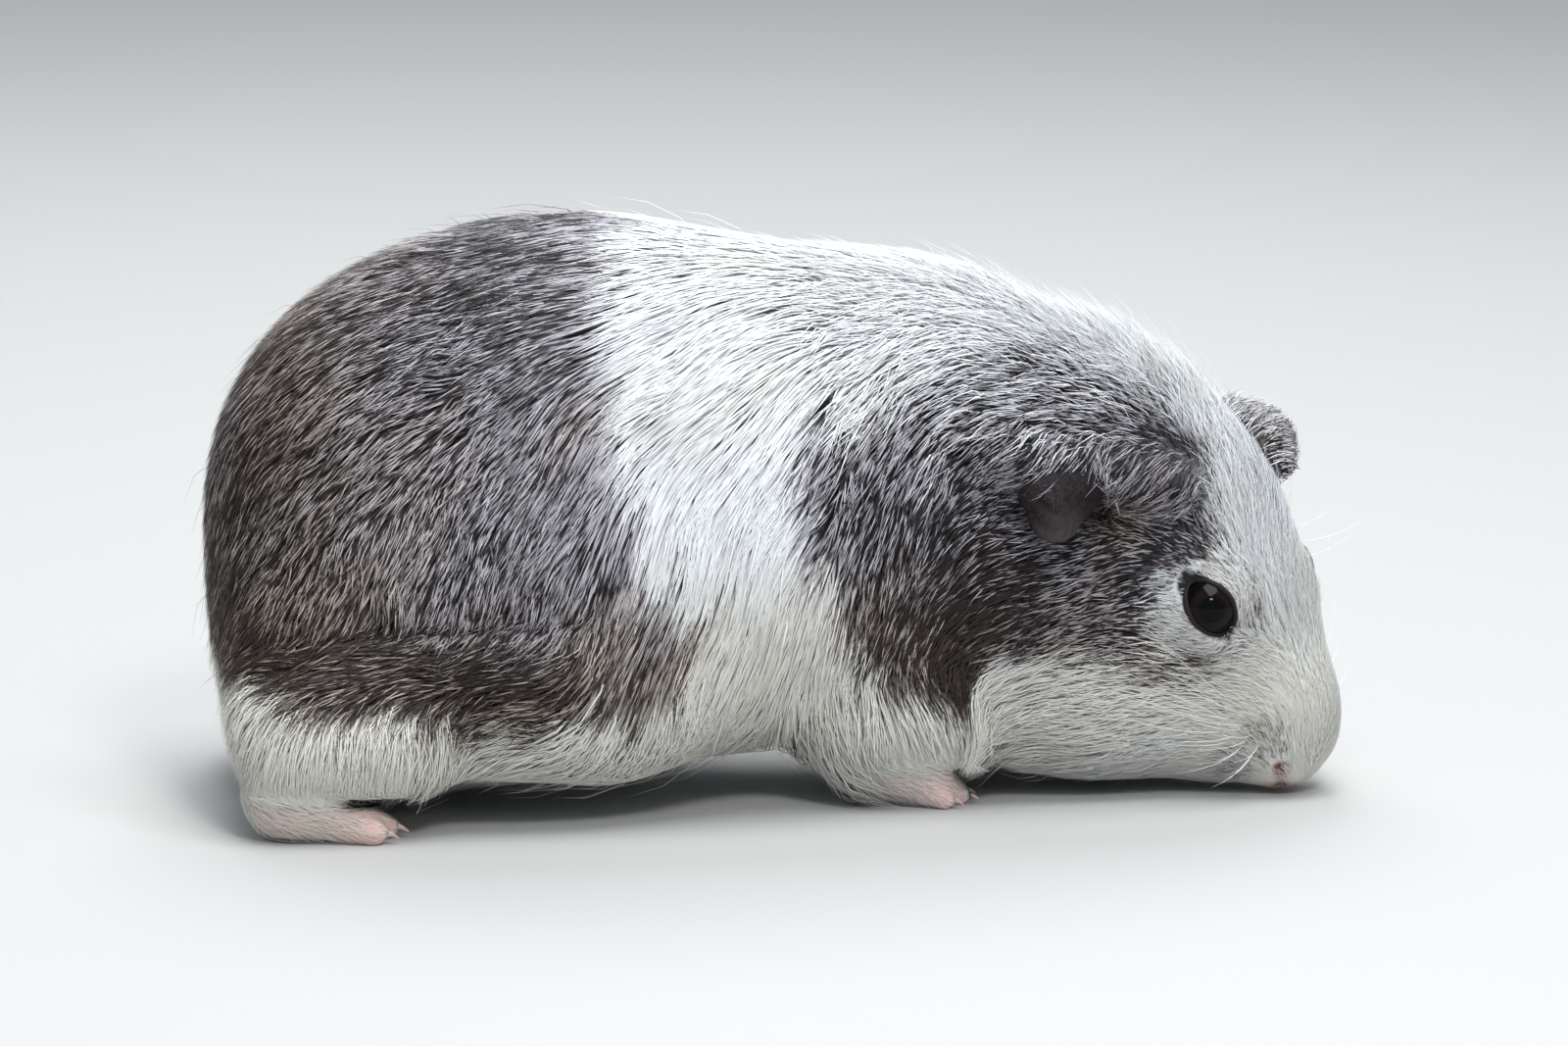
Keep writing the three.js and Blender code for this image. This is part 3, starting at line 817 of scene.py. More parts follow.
def studio():
    corner = np.array([(-1, -1, 0), (1, -1, 0), (1, 1, 0), (-1, 1, 0)])
    paint = Paint("pale_floor", Roughness=0.75, Base_Color=FLOOR_COLOUR)
    mesh = mesh_of("floor", corner * FLOOR_SIZE, [(0, 1, 2, 3)])
    floor = placed("floor", mesh, paint.material)

    world = bpy.data.worlds.new("studio")
    world.use_nodes = True
    world.node_tree.nodes["Background"].inputs["Color"].default_value = SKY_COLOUR
    world.node_tree.nodes["Background"].inputs["Strength"].default_value = SKY_STRENGTH
    bpy.context.scene.world = world
    bpy.context.scene.view_settings.view_transform = "Standard"
    for name, place, aim, size, watts in LIGHTS:
        light = bpy.data.lights.new(name, "AREA")
        light.size = size
        light.energy = watts
        aimed(placed(name, light), Vector(place), Vector(aim) - Vector(place))


# Angles in degrees, lengths in metres, and the lens in millimetres.
CAMERA = {"azimuth": -8.0, "elevation": 9.5, "distance": 1.25, "aim": (0, 0, 0.055),
          "lens": 151.9, "shift": (0.0113, -0.0172)}


def camera():
    data = bpy.data.cameras.new("camera")
    data.lens = CAMERA["lens"]
    data.shift_x, data.shift_y = CAMERA["shift"]
    data.clip_start = 0.05
    turn, rise = math.radians(CAMERA["azimuth"]), math.radians(CAMERA["elevation"])
    back = Vector((math.sin(turn) * math.cos(rise), -math.cos(turn) * math.cos(rise), math.sin(rise)))
    eye = placed("camera", data)
    aimed(eye, Vector(CAMERA["aim"]) + back * CAMERA["distance"], -back)
    bpy.context.scene.camera = eye


# ---- skin and eye pieces

WHITE, CREAM = (0.915, 0.94, 0.97, 1), (0.875, 0.855, 0.765, 1)
WHITE_ROOT = (0.91, 0.92, 0.94, 1)
DARK, BROWN = (0.024, 0.019, 0.020, 1), (0.052, 0.036, 0.030, 1)  # grey hair, and where it is warm
PALE, BUFF = (0.56, 0.54, 0.60, 1), (0.50, 0.42, 0.36, 1)  # its band, and where it is warm
PINK, PALE_PINK = (0.72, 0.46, 0.42, 1), (0.78, 0.55, 0.50, 1)
# The third of these is painted shade: the near-black inside of each nostril's opening.
RAW, NOSTRIL_SHADE, LID = (0.27, 0.105, 0.085, 1), (0.02, 0.008, 0.007, 1), (0.022, 0.018, 0.02, 1)
# The ear's skin: the first two colours are painted shade, near-black and speckled, near the root where
# the hair hangs over it; the next is its own colour further out, and the last its pinker front rim,
# also painted lighter there as a highlight.
EAR_SHADE, EAR_SHADE_SPECKLE = (0.008, 0.006, 0.007, 1), (0.018, 0.014, 0.016, 1)
LOBE, LOBE_RIM_HIGHLIGHT = (0.13, 0.102, 0.107, 1), (0.34, 0.235, 0.225, 1)
EYE_BLACK, IRIS = (0.003, 0.003, 0.003, 1), (0.010, 0.006, 0.005, 1)
WHISKERS = (0.80, 0.79, 0.77, 1), (0.94, 0.94, 0.93, 1)
CLAWS = (0.46, 0.34, 0.29, 1), (0.66, 0.55, 0.48, 1)


def skin_paint():
    paint = Paint("skin", Roughness=0.6, Specular_IOR_Level=0.12)
    white = paint.mix(WHITE, CREAM, "warm")
    grey = paint.mix(DARK, BROWN, "warm")
    grey = paint.mix(grey, PALE, 0.25)
    fur = paint.mix(white, grey, "grey")
    speckle = paint.step(paint.noise(1500), 0.3, 0.75)
    bare = paint.mix(PINK, PALE_PINK, speckle)
    bare = paint.mix(bare, RAW, "raw")
    # Painted shade: the deepest part of each nostril is near-black.
    bare = paint.mix(bare, NOSTRIL_SHADE, "hole")
    # The ear: painted shade near the root, under the hair, fading to the lobe's own colour, with a
    # pinker front rim that is also a painted highlight.
    ear = paint.mix(EAR_SHADE, EAR_SHADE_SPECKLE, speckle)
    lobe = paint.mix(LOBE, LOBE_RIM_HIGHLIGHT, "rim")
    ear = paint.mix(ear, lobe, "lobe")
    bare = paint.mix(bare, ear, "ear")
    bare = paint.mix(bare, LID, "lid")
    paint.feed("Base Color", paint.mix(fur, bare, "bare"))
    paint.feed("Subsurface Weight", 0.12)
    paint.feed("Subsurface Scale", 0.8 * MM)
    paint.bump(paint.noise(2600), 0.4, 0.2)
    return paint.material


def bareness(p):
    feet = legness(p) * ramp(11, 7, p[:, 2]) * mix(0.7, 1.0, toe_nearness(p))
    nose = ramp(7.6, 5.4, norm(p - NOSE_AT))
    nose = np.maximum(nose, ramp(0.1, 0.6, nostril_depth(in_head(p), 3.5)))
    return np.clip(feet + nose + ramp(1.25, 0.75, eye_gap(p)), 0, 1)


SKIN_GREY = 0.34  # how grey the skin is in the white about an eye


def make_skin(whole, ears):
    """The skin piece: the body's skin, the ears and the lids as one mesh."""
    parts = [thinned(whole)] + [ear for ear, _, _ in ears] + [lid_mesh(name) for name in SIDES]
    sizes = [len(part.vertices) for part in parts]
    mesh = joined(parts)
    points, _ = arrays(mesh)
    normals = normals_of(mesh, 2)
    on_body, on_ear = (np.repeat(kind, sizes) for kind in ([1, 0, 0, 0, 0], [0, 1, 1, 0, 0]))
    out, forward = np.zeros((2, len(points)))
    out[on_ear > 0] = np.concatenate([ear[1] for ear in ears])
    forward[on_ear > 0] = np.concatenate([ear[2] for ear in ears])
    tips = points + coat_depth(points)[:, None] * normals
    gap = eye_gap(points)
    q = in_head(points)
    raw = 1.1 * nostril_depth(q, 5.0) + nostril_depth(q, 2.8) + 0.6 * mouth_depth(q)
    add_floats(
        mesh, warm=warmth(tips),
        grey=np.maximum(ramp(-1.5, 1.5, grey_margin(tips)), SKIN_GREY * ramp(6, 2, gap)),
        bare=np.where(on_ear, 1.0, bareness(points)), ear=on_ear, lid=ramp(2.2, 1.2, gap),
        # lobe is 0 where the near ear is painted dark as the shade of the hair over its root and 1 on
        # its lobe; the far ear has 0 all over. rim is the pinker front edge, also a painted highlight.
        lobe=ramp(8, 18, out + 0.4 * forward) * on_ear * ramp(5, -5, points[:, 1]),
        rim=ramp(2, 10, forward) * on_ear,
        # hole: painted shade deep in each nostril.
        hole=ramp(0.1, 0.7, nostril_depth(q, 1.3)) * on_body,
        raw=np.clip(raw, 0, 1) * on_body)
    smooth_shaded(mesh)
    piece = placed("skin", mesh, skin_paint())
    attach(piece, "root")
    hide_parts(*FLESH)


CORNEA = 0.3  # how far it stands over the ball
EYE_STEPS = 96


def make_eyes():
    paint = Paint("eye", Roughness=0.03, IOR=1.19)
    paint.feed("Base Color", paint.mix(EYE_BLACK, IRIS, "iris"))
    for name in SIDES:
        axes = eye_frame(name)
        mesh = ball(EYE_AT[name], axes, lambda t: EYE_RADIUS + CORNEA * np.exp(-((t / 0.5) ** 4)),
                    EYE_STEPS)
        points, _ = arrays(mesh)
        polar = np.arccos(np.clip(unit(points - EYE_AT[name]) @ axes[2], -1, 1))
        add_floats(mesh, iris=ramp(0.38, 0.46, polar) * ramp(0.80, 0.66, polar))
        smooth_shaded(mesh)
        piece = placed(f"eyeball_{name}", mesh, paint.material)
        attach(piece, "root")
        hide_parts(f"eye_{name}")


# ---- the coat


def hair_length(depth):
    return 2.1 + 2.2 * depth


def hair_width(depth):
    return 0.095 + 0.045 * depth


def scattered(points, quads, density, count, rng):
    """`count` places spread over quads in step with the density at their corners: for each the
    four corners and their weights."""
    running = np.cumsum(areas(points, quads) * density[quads].mean(1))
    chosen = np.searchsorted(running, (np.arange(count) + rng.random(count)) * running[-1] / count)
    u, v = rng.random((2, count, 1))
    weights = np.concatenate([(1 - u) * (1 - v), u * (1 - v), u * v, (1 - u) * v], 1)
    return quads[np.minimum(chosen, len(quads) - 1)], weights


def tree_of(points):
    tree = KDTree(len(points))
    for k, point in enumerate(points):
        tree.insert(point, k)
    tree.balance()
    return tree


def nearest(tree, places):
    return np.fromiter((tree.find(place)[1] for place in places), int, len(places))


class Surface:
    """The skin as points with smooth normals, to walk along."""

    def __init__(self, points, normals):
        self.points, self.normals = points, normals
        self.tree = tree_of(points)

    def settle(self, places):
        """The places moved onto the skin, and the normals there."""
        k = nearest(self.tree, places)
        normals = self.normals[k]
        return places - dot(places - self.points[k], normals) * normals, normals


def turned_about(v, axis, angle):
    c, s = np.cos(angle)[:, None], np.sin(angle)[:, None]
    return v * c + np.cross(axis, v) * s + axis * dot(axis, v) * (1 - c)


ROOT_DEEP = 0.35  # how far a tuft's root is under the skin


def strands(surface, flow, roots, length, rise, veer, soon, rings):
    """Curves that start at the roots and follow the flow of the coat: places and normals for each
    of `rings` stations and the tip. `rise` is how far the tip stands over the skin, and a greater
    `soon` lifts the rest nearer to it."""
    place, normal = surface.settle(roots)
    places, ups = [place], [normal]
    for _ in range(rings):
        way = flow(place)
        way = unit(way - dot(way, normal) * normal)
        way = turned_about(way, normal, veer)
        place, normal = surface.settle(place + way * (length / rings)[:, None])
        places.append(place)
        ups.append(normal)
    t = np.linspace(0, 1, rings + 1)
    curves = [p + n * (rise * (1 - (1 - h) ** soon) - ROOT_DEEP * (h == 0))[:, None]
              for p, n, h in zip(places, ups, t)]
    return np.stack(curves, 1), np.stack(ups, 1)


def clumped(curves, ups, leaders, strength):
    """Draws each curve sideways towards its leader's, more so at the tip."""
    lead = leaders[nearest(tree_of(curves[leaders, 0]), curves[:, 0])]
    gap = curves[lead] - curves
    along = unit(np.gradient(curves, axis=1))
    gap = gap - dot(gap, along) * along
    gap = gap - dot(gap, ups) * ups
    t = np.linspace(0, 1, curves.shape[1])[None, :, None] ** 1.3
    return curves + gap * t * strength[:, None, None], lead


TAPER = {4: (0.6, 1.0, 0.72, 0.0), 3: (0.7, 0.9, 0.0)}  # its width from root to tip
RIDGE = 0.32  # how high its third corner is, as a part of its width
OFF_FLOOR = 0.12
LEAN, SILKY_LEAN = 0.25, 0.10  # how far a tuft's shading turns to its sides
PATCH = 0.003  # how much of the unwrap a tuft's own patch covers


def tuft_mesh(name, curves, ups, width, places, columns, lean):
    """Solid tufts: three-sided, tapered and pointed, one for each curve."""
    count, stations, _ = curves.shape
    along = unit(np.gradient(curves, axis=1))
    side = unit(np.cross(along, ups))
    up = np.cross(side, along)
    w = width[:, None, None] * np.array(TAPER[stations])[None, :, None]
    rim = [curves - side * w * 0.5, curves + up * w * RIDGE, curves + side * w * 0.5]
    rings = np.stack(rim, 2)[:, :-1]
    points = np.concatenate([rings.reshape(count, -1, 3), curves[:, -1:]], 1)
    points[..., 2] = np.maximum(points[..., 2], OFF_FLOOR)
    each = points.shape[1]
    bands = stations - 2
    faces, spots = [], []
    for ring in range(bands):
        for k in range(3):
            low, high = ring * 3 + k, ring * 3 + (k + 1) % 3
            faces.append((low, high, high + 3, low + 3))
            spots.append([(k, ring), (k + 1, ring), (k + 1, ring + 1), (k, ring + 1)])
    last = bands * 3
    for k in range(3):
        faces.append((last + k, last + (k + 1) % 3, each - 1))
        spots.append([(k, bands), (k + 1, bands), (k + 0.5, bands + 1)])
    faces.append((2, 1, 0))
    spots.append([(2, 0), (1, 0), (0, 0)])

    sizes = np.tile([len(face) for face in faces], count)
    one = np.concatenate([np.array(face) for face in faces])
    loops = (one[None] + each * np.arange(count)[:, None]).ravel()
    spot = np.concatenate([np.array(s, float) for s in spots])
    spot = spot / (3, bands + 1) - 0.5
    flat = (places[:, None] + spot[None] * PATCH).reshape(-1, 2)

    mesh = bpy.data.meshes.new(name)
    mesh.vertices.add(count * each)
    put(mesh, points)
    mesh.loops.add(len(loops))
    mesh.loops.foreach_set("vertex_index", loops.astype(np.int32))
    mesh.polygons.add(len(sizes))
    starts = np.concatenate([[0], np.cumsum(sizes)[:-1]])
    mesh.polygons.foreach_set("loop_start", starts.astype(np.int32))
    mesh.update(calc_edges=True)
    unwrap = mesh.uv_layers.new(name="OFBake")
    unwrap.data.foreach_set("uv", flat.astype(np.float32).ravel())
    t = np.repeat(np.arange(stations - 1), 3) / (stations - 1)
    add_floats(mesh, along=np.tile(np.append(t, 1.0), count),
               **{key: np.repeat(value, each) for key, value in columns.items()})
    smooth_shaded(mesh)
    leaning = np.stack([up - side * lean, up, up + side * lean], 2)[:, :-1].reshape(count, -1, 3)
    normals = unit(np.concatenate([leaning, up[:, -1:]], 1)).reshape(-1, 3)
    mesh.normals_split_custom_set_from_vertices(normals.astype(np.float32))
    return mesh


UNWRAP_VOXEL = 2.6


def unwrapped(whole):
    """A light copy of the skin with its own unwrap, as a tree, and the places of its corners."""
    mesh = remeshed(whole.copy(), UNWRAP_VOXEL)
    piece = placed("unwrap", mesh)
    bpy.context.view_layer.objects.active = piece
    piece.select_set(True)
    bpy.ops.object.mode_set(mode="EDIT")
    bpy.ops.mesh.select_all(action="SELECT")
    bpy.ops.uv.smart_project(angle_limit=math.radians(60), island_margin=0.004)
    bpy.ops.object.mode_set(mode="OBJECT")
    points, _ = arrays(mesh)
    quads = corners(mesh)
    uv = fetched(mesh.uv_layers.active.data, "uv", 2).reshape(-1, 4, 2)
    tree = BVHTree.FromPolygons(points.tolist(), quads.tolist())
    bpy.data.objects.remove(piece)
    return tree, points[quads], uv


def unwrap_places(unwrap, roots):
    """Where each root lies on the unwrap."""
    tree, faces, uv = unwrap
    face = np.fromiter((tree.find_nearest(root)[2] for root in roots), int, len(roots))
    near = 1 / (np.linalg.norm(faces[face] - roots[:, None], axis=2) ** 2 + 0.05)
    near /= near.sum(1, keepdims=True)
    return (uv[face] * near[..., None]).sum(1)


def coat_paint():
    """Grey hair is dark at the root with a pale band near the tip; white hair is plain."""
    paint = Paint("coat", Roughness=0.5, Specular_IOR_Level=0.2, Sheen_Weight=0.05,
                  Sheen_Roughness=0.4)
    along, tick = paint.column("along"), paint.column("tick")
    warm, shade = paint.column("warm"), paint.column("shade")
    root = paint.mix(DARK, BROWN, warm)
    pale = paint.mix(PALE, BUFF, warm)
    start = paint.math("SUBTRACT", along, paint.math("MULTIPLY", tick, 0.34))
    end = paint.math("SUBTRACT", along, paint.math("MULTIPLY", tick, 0.75))
    band = paint.math("MULTIPLY", paint.step(start, 0.30, 0.42), paint.step(end, 0.36, 0.50, 1.0, 0.0))
    band = paint.math("MULTIPLY", band, paint.step(tick, 0.12, 0.5, 0.1, 1.0))
    grey = paint.mix(root, pale, band)
    white = paint.mix(WHITE, CREAM, warm)
    white = paint.mix(WHITE_ROOT, white, paint.step(along, 0.0, 0.4))
    colour = paint.mix(white, grey, "grey")
    # The shade column scales the colour: random tone per tuft and clump, and painted shade on the band
    # and in the near ear's opening.
    inputs = ("Color", colour), ("Value", shade)
    paint.feed("Base Color", paint.node("HueSaturation", "Color", inputs))
    return paint.material


def longness(p):
    """1 on the white band, where the hair is longest."""
    q = folded(p)[0]
    return ramp(-52, -30, q[:, 0]) * ramp(16, 2, q[:, 0])


def crest(p):
    """1 along the middle of the nape, where the white hair stands up a little."""
    a, s, u = in_head(p).T
    return ramp(-56, -40, a) * ramp(-14, -26, a) * ramp(15, 6, np.abs(s)) * ramp(8, 16, u)


def fringe(p):
    """1 on the low edge of the haunch and about the foreleg, where the hair hangs over the foot."""
    haunch = ramp(30, 20, p[:, 2]) * ramp(-56, -66, p[:, 0])
    foreleg = ramp(34, 24, p[:, 2]) * ramp(-10, 2, p[:, 0]) * ramp(34, 24, p[:, 0])
    return ramp(7, 11, p[:, 2]) * np.maximum(haunch, foreleg)


def over_ears(p):
    """1 on the neck's top behind the ears, where white hairs are mixed into the grey."""
    q = folded(p)[0]
    return ramp(18, 34, q[:, 0]) * ramp(64, 78, q[:, 2])


def over_eye(p):
    """1 just over the right eye."""
    return ramp(12, 9, eye_distance(p)) * ramp(0.2, 0.8, unit(p - EYE_AT["right"]) @ HEAD_UP)


COAT_SEED, WHISKER_SEED = 41, 7
TRIANGLES = 1_360_000  # about how many the body's coat has
TUFT_TRIANGLES = 10, 16  # in one with two rings between its ends, or three
PIECE_TUFTS = 12_000
CLUMP = 11  # tufts to a clump
# What a tuft has on most of the body, and on the long white band: factors on its length, width
# and shade (on the band a little greyer, partly as its own tone and partly as painted shade for
# the shade on its middle), how much it veers at random and with its neighbours in degrees, how
# early it lifts and how strongly it clumps.
LONGER, WIDER, PAINTED_SHADE = (1, 1.95), (1, 1.35), (1, 0.9)
VEER, SWIRL = (11, 3.5), (9, 13)
SOON, CLUMPING = (2.0, 3.0), (0.5, 0.42)
# How much longer a tuft is over a foot or ear, how much further it stands off over the near ear,
# what part of all stand proud, and how much further they do.
OVERHANG, EAR_CLEARANCE = 1.6, 3.6
PROUD, PROUD_ON_NAPE, PROUD_RISE = 0.012, 0.13, (1.15, 1.9)
CREST_RISE = (0.2, 3.4)


def grown(surface, flow, root, deep, rings, rng):
    """Tufts from roots and coat depths: curves, normals, widths and the columns of each."""
    n = len(root)
    long = longness(root)
    on_body = deep > 1
    length = hair_length(deep) * mix(*LONGER, long) * rng.uniform(0.7, 1.15, n)
    length = np.minimum(length, 1.0 + 1.1 * np.maximum(eye_gap(root), 0.4))
    rise = deep * mix(rng.uniform(0.78, 1.05, n), rng.uniform(0.93, 1.0, n), long)
    brim = above_ear(root) * on_body
    length = length * mix(1, OVERHANG, np.maximum(fringe(root), brim))
    rise = rise + EAR_CLEARANCE * brim * rng.uniform(0.6, 1.1, n)
    nape = ramp(28, 50, root[:, 0]) * ramp(40, 70, root[:, 2]) * on_body
    proud = rng.random(n) < PROUD + PROUD_ON_NAPE * nape
    rise = rise * np.where(proud, rng.uniform(*PROUD_RISE, n), 1)
    rise = rise + crest(root) * on_body * rng.uniform(*CREST_RISE, n)
    veer = rng.normal(0, 1, n) * mix(*VEER, long) + mix(*SWIRL, long) * wobble(root, 26, 31)
    veer = np.radians(veer)
    curves, ups = strands(surface, flow, root, length, rise, veer, mix(*SOON, long), rings)
    leaders = rng.permutation(n)[: n // CLUMP]
    strength = mix(*CLUMPING, long) * mix(0.4, 1.0, ramp(4, 10, length))
    curves, lead = clumped(curves, ups, leaders, strength * rng.uniform(0.6, 1.1, n))
    width = hair_width(deep) * rng.uniform(0.75, 1.2, n) * mix(*WIDER, long) * np.where(proud, 0.7, 1)
    return curves, ups, width, coloured(root, mix(curves[:, -2], curves[:, -1], 0.3), lead, rng)


def coloured(root, seen, lead, rng):
    """The columns of tufts from their roots, the places where each is seen and their leaders."""
    n = len(root)
    margin = grey_margin(seen)
    margin = mix(margin, margin[lead], 0.6) + rng.normal(0, 1, n)[lead]
    grey = (rng.random(n) < grey_chance(root, seen, margin)).astype(float)
    tick = rng.random(n) * 0.75 + 0.25 * rng.random(n)[lead]
    shade = mix(1.0, rng.uniform(0.72, 1.1, n), mix(0.2, 1.0, grey))
    # On the band the white is a little greyer, partly its own tone and partly painted shade for the
    # shade on the band's middle.
    shade = shade * mix(0.965, 1.02, rng.random(n)[lead]) * mix(*PAINTED_SHADE, longness(root))
    # Painted shade: the hair in the near ear's opening is darker, as the shade in that hollow.
    shade = shade * (1 - 0.72 * ear_pit(in_head(root), "ear_right"))
    olive = 1.5 * np.maximum(*(ear_pit(in_head(seen), name) for name in EARS))
    warm = np.clip(warmth(seen) + olive + 0.5 * over_eye(seen), 0, 1)
    return {"grey": grey, "tick": ticking(root, margin, tick), "warm": warm, "shade": shade}


WHISKER_BED = (33.5, 11.5, 4.6)  # its middle in head axes, dotted with dark hairs
SILVER = (-58, -40, 66)  # the flank's palest place


def grey_chance(root, seen, margin):
    """How likely a tuft is grey; the patches have mixed edges, and some dark hairs stray."""
    q = in_head(seen)
    soft = mix(1.3, 4.6, ramp(-25, 5, q[:, 0]) * ramp(40, 60, seen[:, 0]))
    stray = 0.015 * ramp(-9, -2, margin)
    stray += 0.55 * ramp(7.0, 2.8, norm(np.abs(q) - WHISKER_BED))
    stray += 0.16 * over_eye(seen) + 0.22 * ramp(13, 9, eye_distance(seen))
    return np.clip(stray + ramp(-soft, soft, margin) * (1 - 0.38 * over_ears(root)), 0, 1)


def ticking(root, margin, tick):
    """How wide the pale band of a grey tuft is: wide at a patch's edge and on the flank, and
    narrow low down, at the rear, on the back and on the neck."""
    q = folded(root)[0]
    x, z = root[:, 0], root[:, 2]
    tick = tick + 0.17 * wobble(root, 13, 51) + 0.25 * ramp(9, 0, margin)
    neck = ramp(6, 16, q[:, 0]) * ramp(54, 40, q[:, 0]) * ramp(78, 62, q[:, 2])
    dark = 0.28 * ramp(56, 34, z) * ramp(64, 44, x) + 0.2 * ramp(-70, -95, x)
    dark += 0.13 * ramp(78, 98, z) * ramp(-10, -30, x)
    streaks = 0.16 * np.exp(-(norm((root - SILVER) * (1, 0.4, 1)) / 22) ** 2)
    return np.clip(tick - 0.05 + streaks - dark - 0.24 * neck + 0.30 * over_ears(root), 0, 1)


def show_tufts(name, tufts, spots, paint):
    """Pieces of a few thousand tufts each, from the tail to the nose."""
    curves, ups, width, columns = tufts
    order = np.argsort(curves[:, 0, 0])
    for k, part in enumerate(np.array_split(order, -(-len(order) // PIECE_TUFTS))):
        mesh = tuft_mesh(f"{name}_{k + 1}", curves[part], ups[part], width[part], spots[part],
                         {key: value[part] for key, value in columns.items()},
                         SILKY_LEAN if "band" in name else LEAN)
        piece = placed(mesh.name, mesh, paint)
        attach(piece, "root")


def coat_density(points, depth):
    """How many tufts stand on a square millimetre, before the share they all get."""
    feet = legness(points) * ramp(10, 6, points[:, 2])
    cover = mix(3.2 + 1.25 * depth, mix(2.1, 0.9, toe_nearness(points)), feet)
    density = cover / (hair_length(depth) * hair_width(depth))
    density *= ramp(5.2, 7.6, norm(points - NOSE_AT))
    density *= 1 - ramp(0.3, 0.7, nostril_depth(in_head(points), 3.4))
    density *= ramp(0.6, 1.2, points[:, 2]) * ramp(0.5, 1.1, eye_gap(points))
    return density


def make_coat(whole, ears):
    rng = np.random.default_rng(COAT_SEED)
    points, _ = arrays(whole)
    surface = Surface(points, normals_of(whole, 5))
    quads = corners(whole)
    depth = coat_depth(points)
    density = coat_density(points, depth)
    wanted = areas(points, quads) * density[quads].mean(1)
    on_band = longness(points[quads[:, 0]]) > 0.4
    share = TRIANGLES / (wanted * mix(*TUFT_TRIANGLES, on_band)).sum()
    about, weights = scattered(points, quads, density, int(wanted.sum() * share), rng)
    own = (depth[about] * weights).sum(1)
    roots = (points[about] * weights[..., None]).sum(1)

    unwrap = unwrapped(whole)
    paint = coat_paint()
    silky = np.maximum(longness(roots), fringe(roots)) > 0.4
    for name, rings, members in (("coat_band", 3, silky), ("coat", 2, ~silky)):
        root = roots[members]
        tufts = grown(surface, lie, root, own[members], rings, rng)
        show_tufts(name, tufts, unwrap_places(unwrap, root), paint)
    for name, ear in zip(EARS, ears):
        root, tufts = ear_coat(name, *ear, rng)
        show_tufts("coat_" + name, tufts, unwrap_places(unwrap, root), paint)


EAR_FUR = 2.6  # how dense its fur is near the root
EAR_SHARE = 1.5  # by how much its tufts outnumber what the density says


def ear_coat(name, ear, out, forward, rng):
    """The roots of an ear's tufts, and the tufts."""
    sheet, _ = arrays(ear)
    normals = normals_of(ear, 3)
    quads = corners(ear)
    reach = EARS[name]["furred"]
    cover = EAR_FUR * ramp(reach + 3, reach - 2, out - 0.3 * forward) + EARS[name]["down"]
    outwards = 0.6 * HEAD_UP - 0.4 * HEAD_FORE + 0.5 * HEAD_LEFT * SIDES[name[4:]]
    density = cover * mix(0.25, 1.0, ramp(-0.1, 0.3, normals @ unit(outwards)))
    count = int((areas(sheet, quads) * density[quads].mean(1)).sum() * EAR_SHARE)
    about, weights = scattered(sheet, quads, density, count, rng)
    root = (sheet[about] * weights[..., None]).sum(1)
    deep = np.full(count, EARS[name]["depth"])
    tufts = grown(Surface(sheet, normals), ear_flow(name), root, deep, 2, rng)
    columns = tufts[3]
    columns["grey"] = (rng.random(count) < EARS[name]["grey"]).astype(float)
    columns["tick"] = np.clip(columns["tick"] + EARS[name]["tick"], 0, 1)
    return root, tufts


# ---- whiskers and claws

HAIR_SIDES = 5
HAIR_STEPS = 12


def hair_tubes(name, hairs, paint):
    """Lone hairs as thin closed tubes. A hair is (start, way, sag, length, thickness)."""
    points, faces = [], []
    t = np.linspace(0, 1, HAIR_STEPS)
    turn = turns(HAIR_SIDES)[None, :, None]
    for start, way, sag, length, thickness in hairs:
        path = start + length * (t[:, None] * unit(way) + (t ** 2)[:, None] * sag)
        along = unit(np.gradient(path, axis=0))
        side = unit(np.cross(along, [0.3, 0.2, 1.0]))
        up = np.cross(side, along)
        radius = thickness / 2 * (1 - 0.93 * t[:-1] ** 1.5)
        ring = np.cos(turn) * side[:-1, None] + np.sin(turn) * up[:-1, None]
        tube = path[:-1, None] + ring * radius[:, None, None]
        first = len(points)
        points += tube.reshape(-1, 3).tolist() + [path[-1].tolist()]
        last = first + (HAIR_STEPS - 1) * HAIR_SIDES
        for k in range(HAIR_SIDES):
            n = (k + 1) % HAIR_SIDES
            for low in range(first, last - HAIR_SIDES, HAIR_SIDES):
                faces.append((low + k, low + n, low + HAIR_SIDES + n, low + HAIR_SIDES + k))
            faces.append((last - HAIR_SIDES + k, last - HAIR_SIDES + n, last))
        faces.append(tuple(first + k for k in reversed(range(HAIR_SIDES))))
    mesh = smooth_shaded(mesh_of(name, points, faces))
    piece = placed(name, mesh, paint)
    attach(piece, "root")


def mottled(paint, colours, scale):
    """A paint of two colours mixed by noise."""
    paint.feed("Base Color", paint.mix(*colours, paint.step(paint.noise(scale), 0.3, 0.7)))
    return paint.material


# On the muzzle whiskers stand in rows, and a few are over the eye and on the cheek. Each of these
# few has its place in head axes and its length.
WHISKER_ROWS, WHISKER_FILES = 4, 5
BROW_HAIRS = ((5, 13, 21), 17), ((8, 12, 19.5), 13), ((2, 14, 20.5), 11), ((16, 24, -4), 12)
WHISKER_THICK, BROW_THICK = 0.15, 0.14


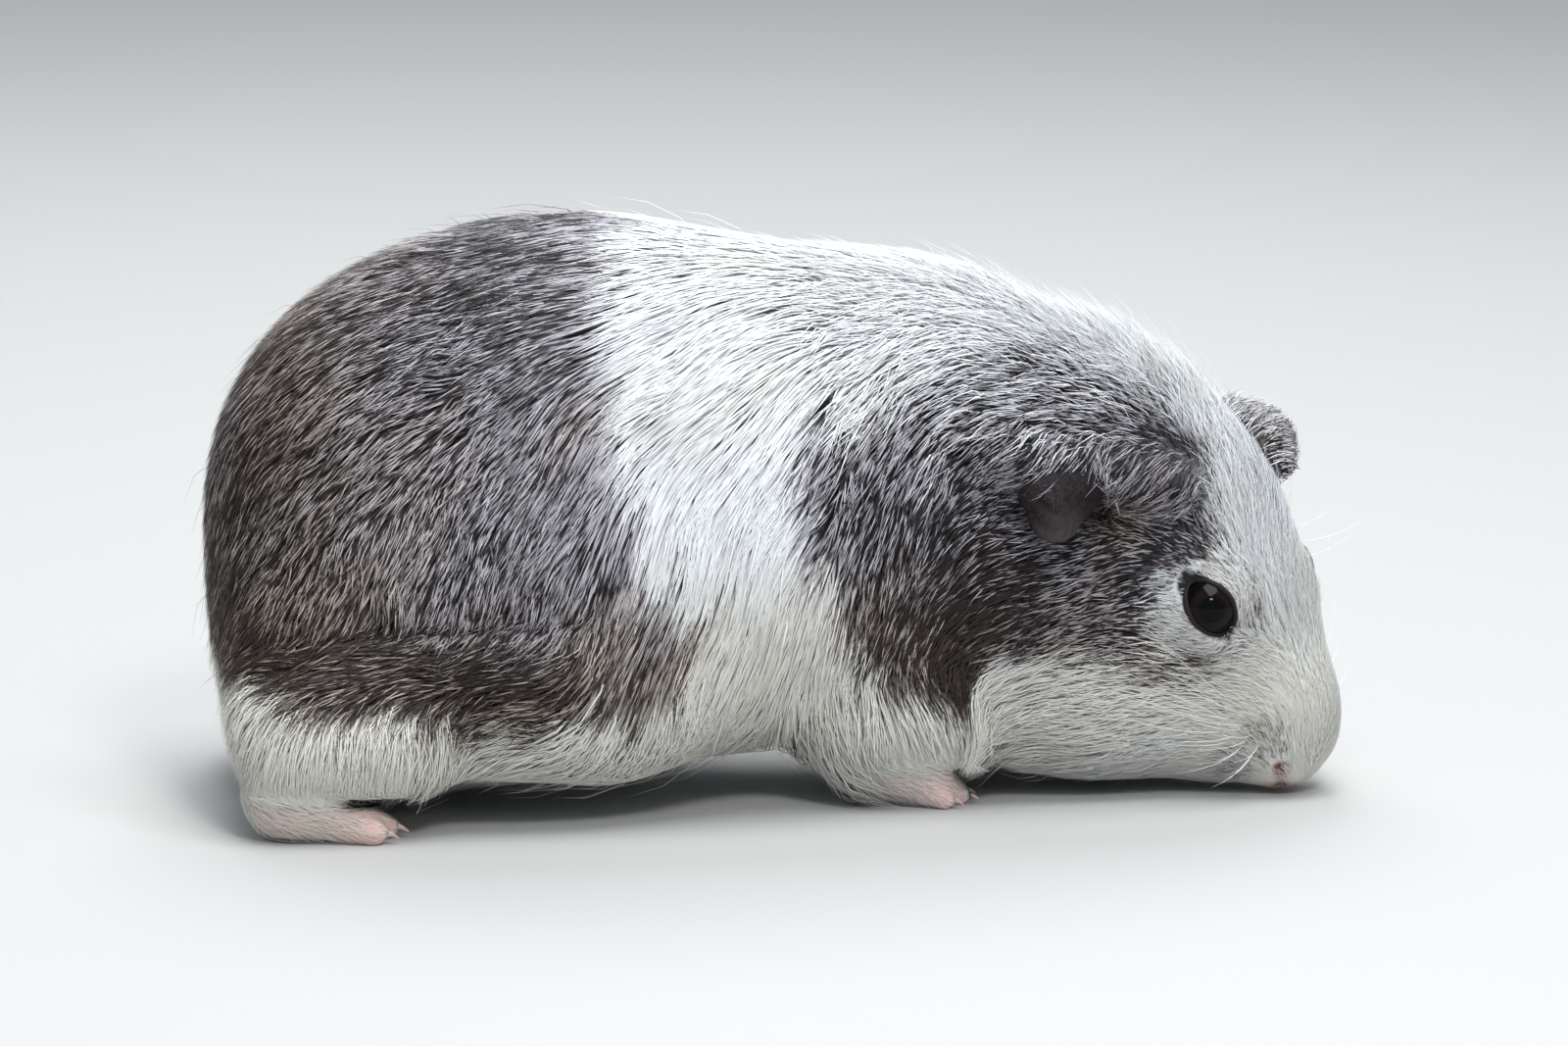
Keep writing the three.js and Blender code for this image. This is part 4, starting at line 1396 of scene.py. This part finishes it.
def make_whiskers(head):
    rng = np.random.default_rng(WHISKER_SEED)
    hairs = []
    for across in (np.array([1, side, 1]) for side in SIDES.values()):
        for row, place in np.ndindex(WHISKER_ROWS, WHISKER_FILES):
            spot = (36 - 2.3 * place + 0.4 * row, 30, 7.5 - 3.0 * row + 0.35 * place)
            start = on_skin(head, from_head(spot * across))
            way = np.array([0.42 - 0.24 * place, 1.0, 0.16 - 0.16 * row + 0.05 * place])
            way = (way + rng.normal(0, 0.07, 3)) * across
            sag = np.array([-0.30, 0.02, -0.12 + rng.normal(0, 0.05)])
            length = rng.uniform(0.8, 1.1) * (13 + 4.2 * place)
            hairs.append((start, way @ HEAD_AXES, (sag * across) @ HEAD_AXES, length, WHISKER_THICK))
        for spot, length in BROW_HAIRS:
            start = on_skin(head, from_head(spot * across))
            way = np.array([0.30, 0.75, 0.85 if spot[2] > 0 else -0.1]) + rng.normal(0, 0.1, 3)
            sag = np.array([-0.25, 0.1, -0.1])
            hairs.append((start, (way * across) @ HEAD_AXES, (sag * across) @ HEAD_AXES, length,
                          BROW_THICK))
    hairs = [hair for hair in hairs if clear_of_floor(hair)]
    hair_tubes("whiskers", hairs, mottled(Paint("whisker", Roughness=0.35), WHISKERS, 60))


def clear_of_floor(hair):
    start, way, sag, length, _ = hair
    heights = [start[2] + length * (t * unit(way)[2] + t * t * sag[2]) for t in (0.3, 0.6, 1.0)]
    return min(heights) > 0.6


def on_skin(head, outside):
    """The place on the skin straight in from a point beside the head."""
    middle = from_head([in_head(outside[None])[0][0] - 3, 0, 0])
    hit = head.ray_cast(Vector(outside), Vector(unit(middle - outside)))[0]
    return np.array(hit if hit is not None else head.find_nearest(Vector(outside))[0])


def make_claws():
    cad_claws = [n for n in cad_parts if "_claw_" in n]
    mesh = smooth_shaded(joined([subdivided(welded(n), 2) for n in cad_claws]))
    paint = Paint("claw", Roughness=0.32, Subsurface_Weight=0.2, Subsurface_Scale=0.6 * MM)
    piece = placed("claws", mesh, mottled(paint, CLAWS, 500))
    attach(piece, "root")
    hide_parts(*cad_claws)


# ---- the whole animal

whole = skin_mesh()
head_tree = BVHTree.FromPolygons(arrays(whole)[0].tolist(), corners(whole).tolist())
ears = [ear_mesh(name, head_tree) for name in EARS]
make_coat(whole, ears)
make_whiskers(head_tree)
make_skin(whole, ears)
make_eyes()
make_claws()
studio()
camera()
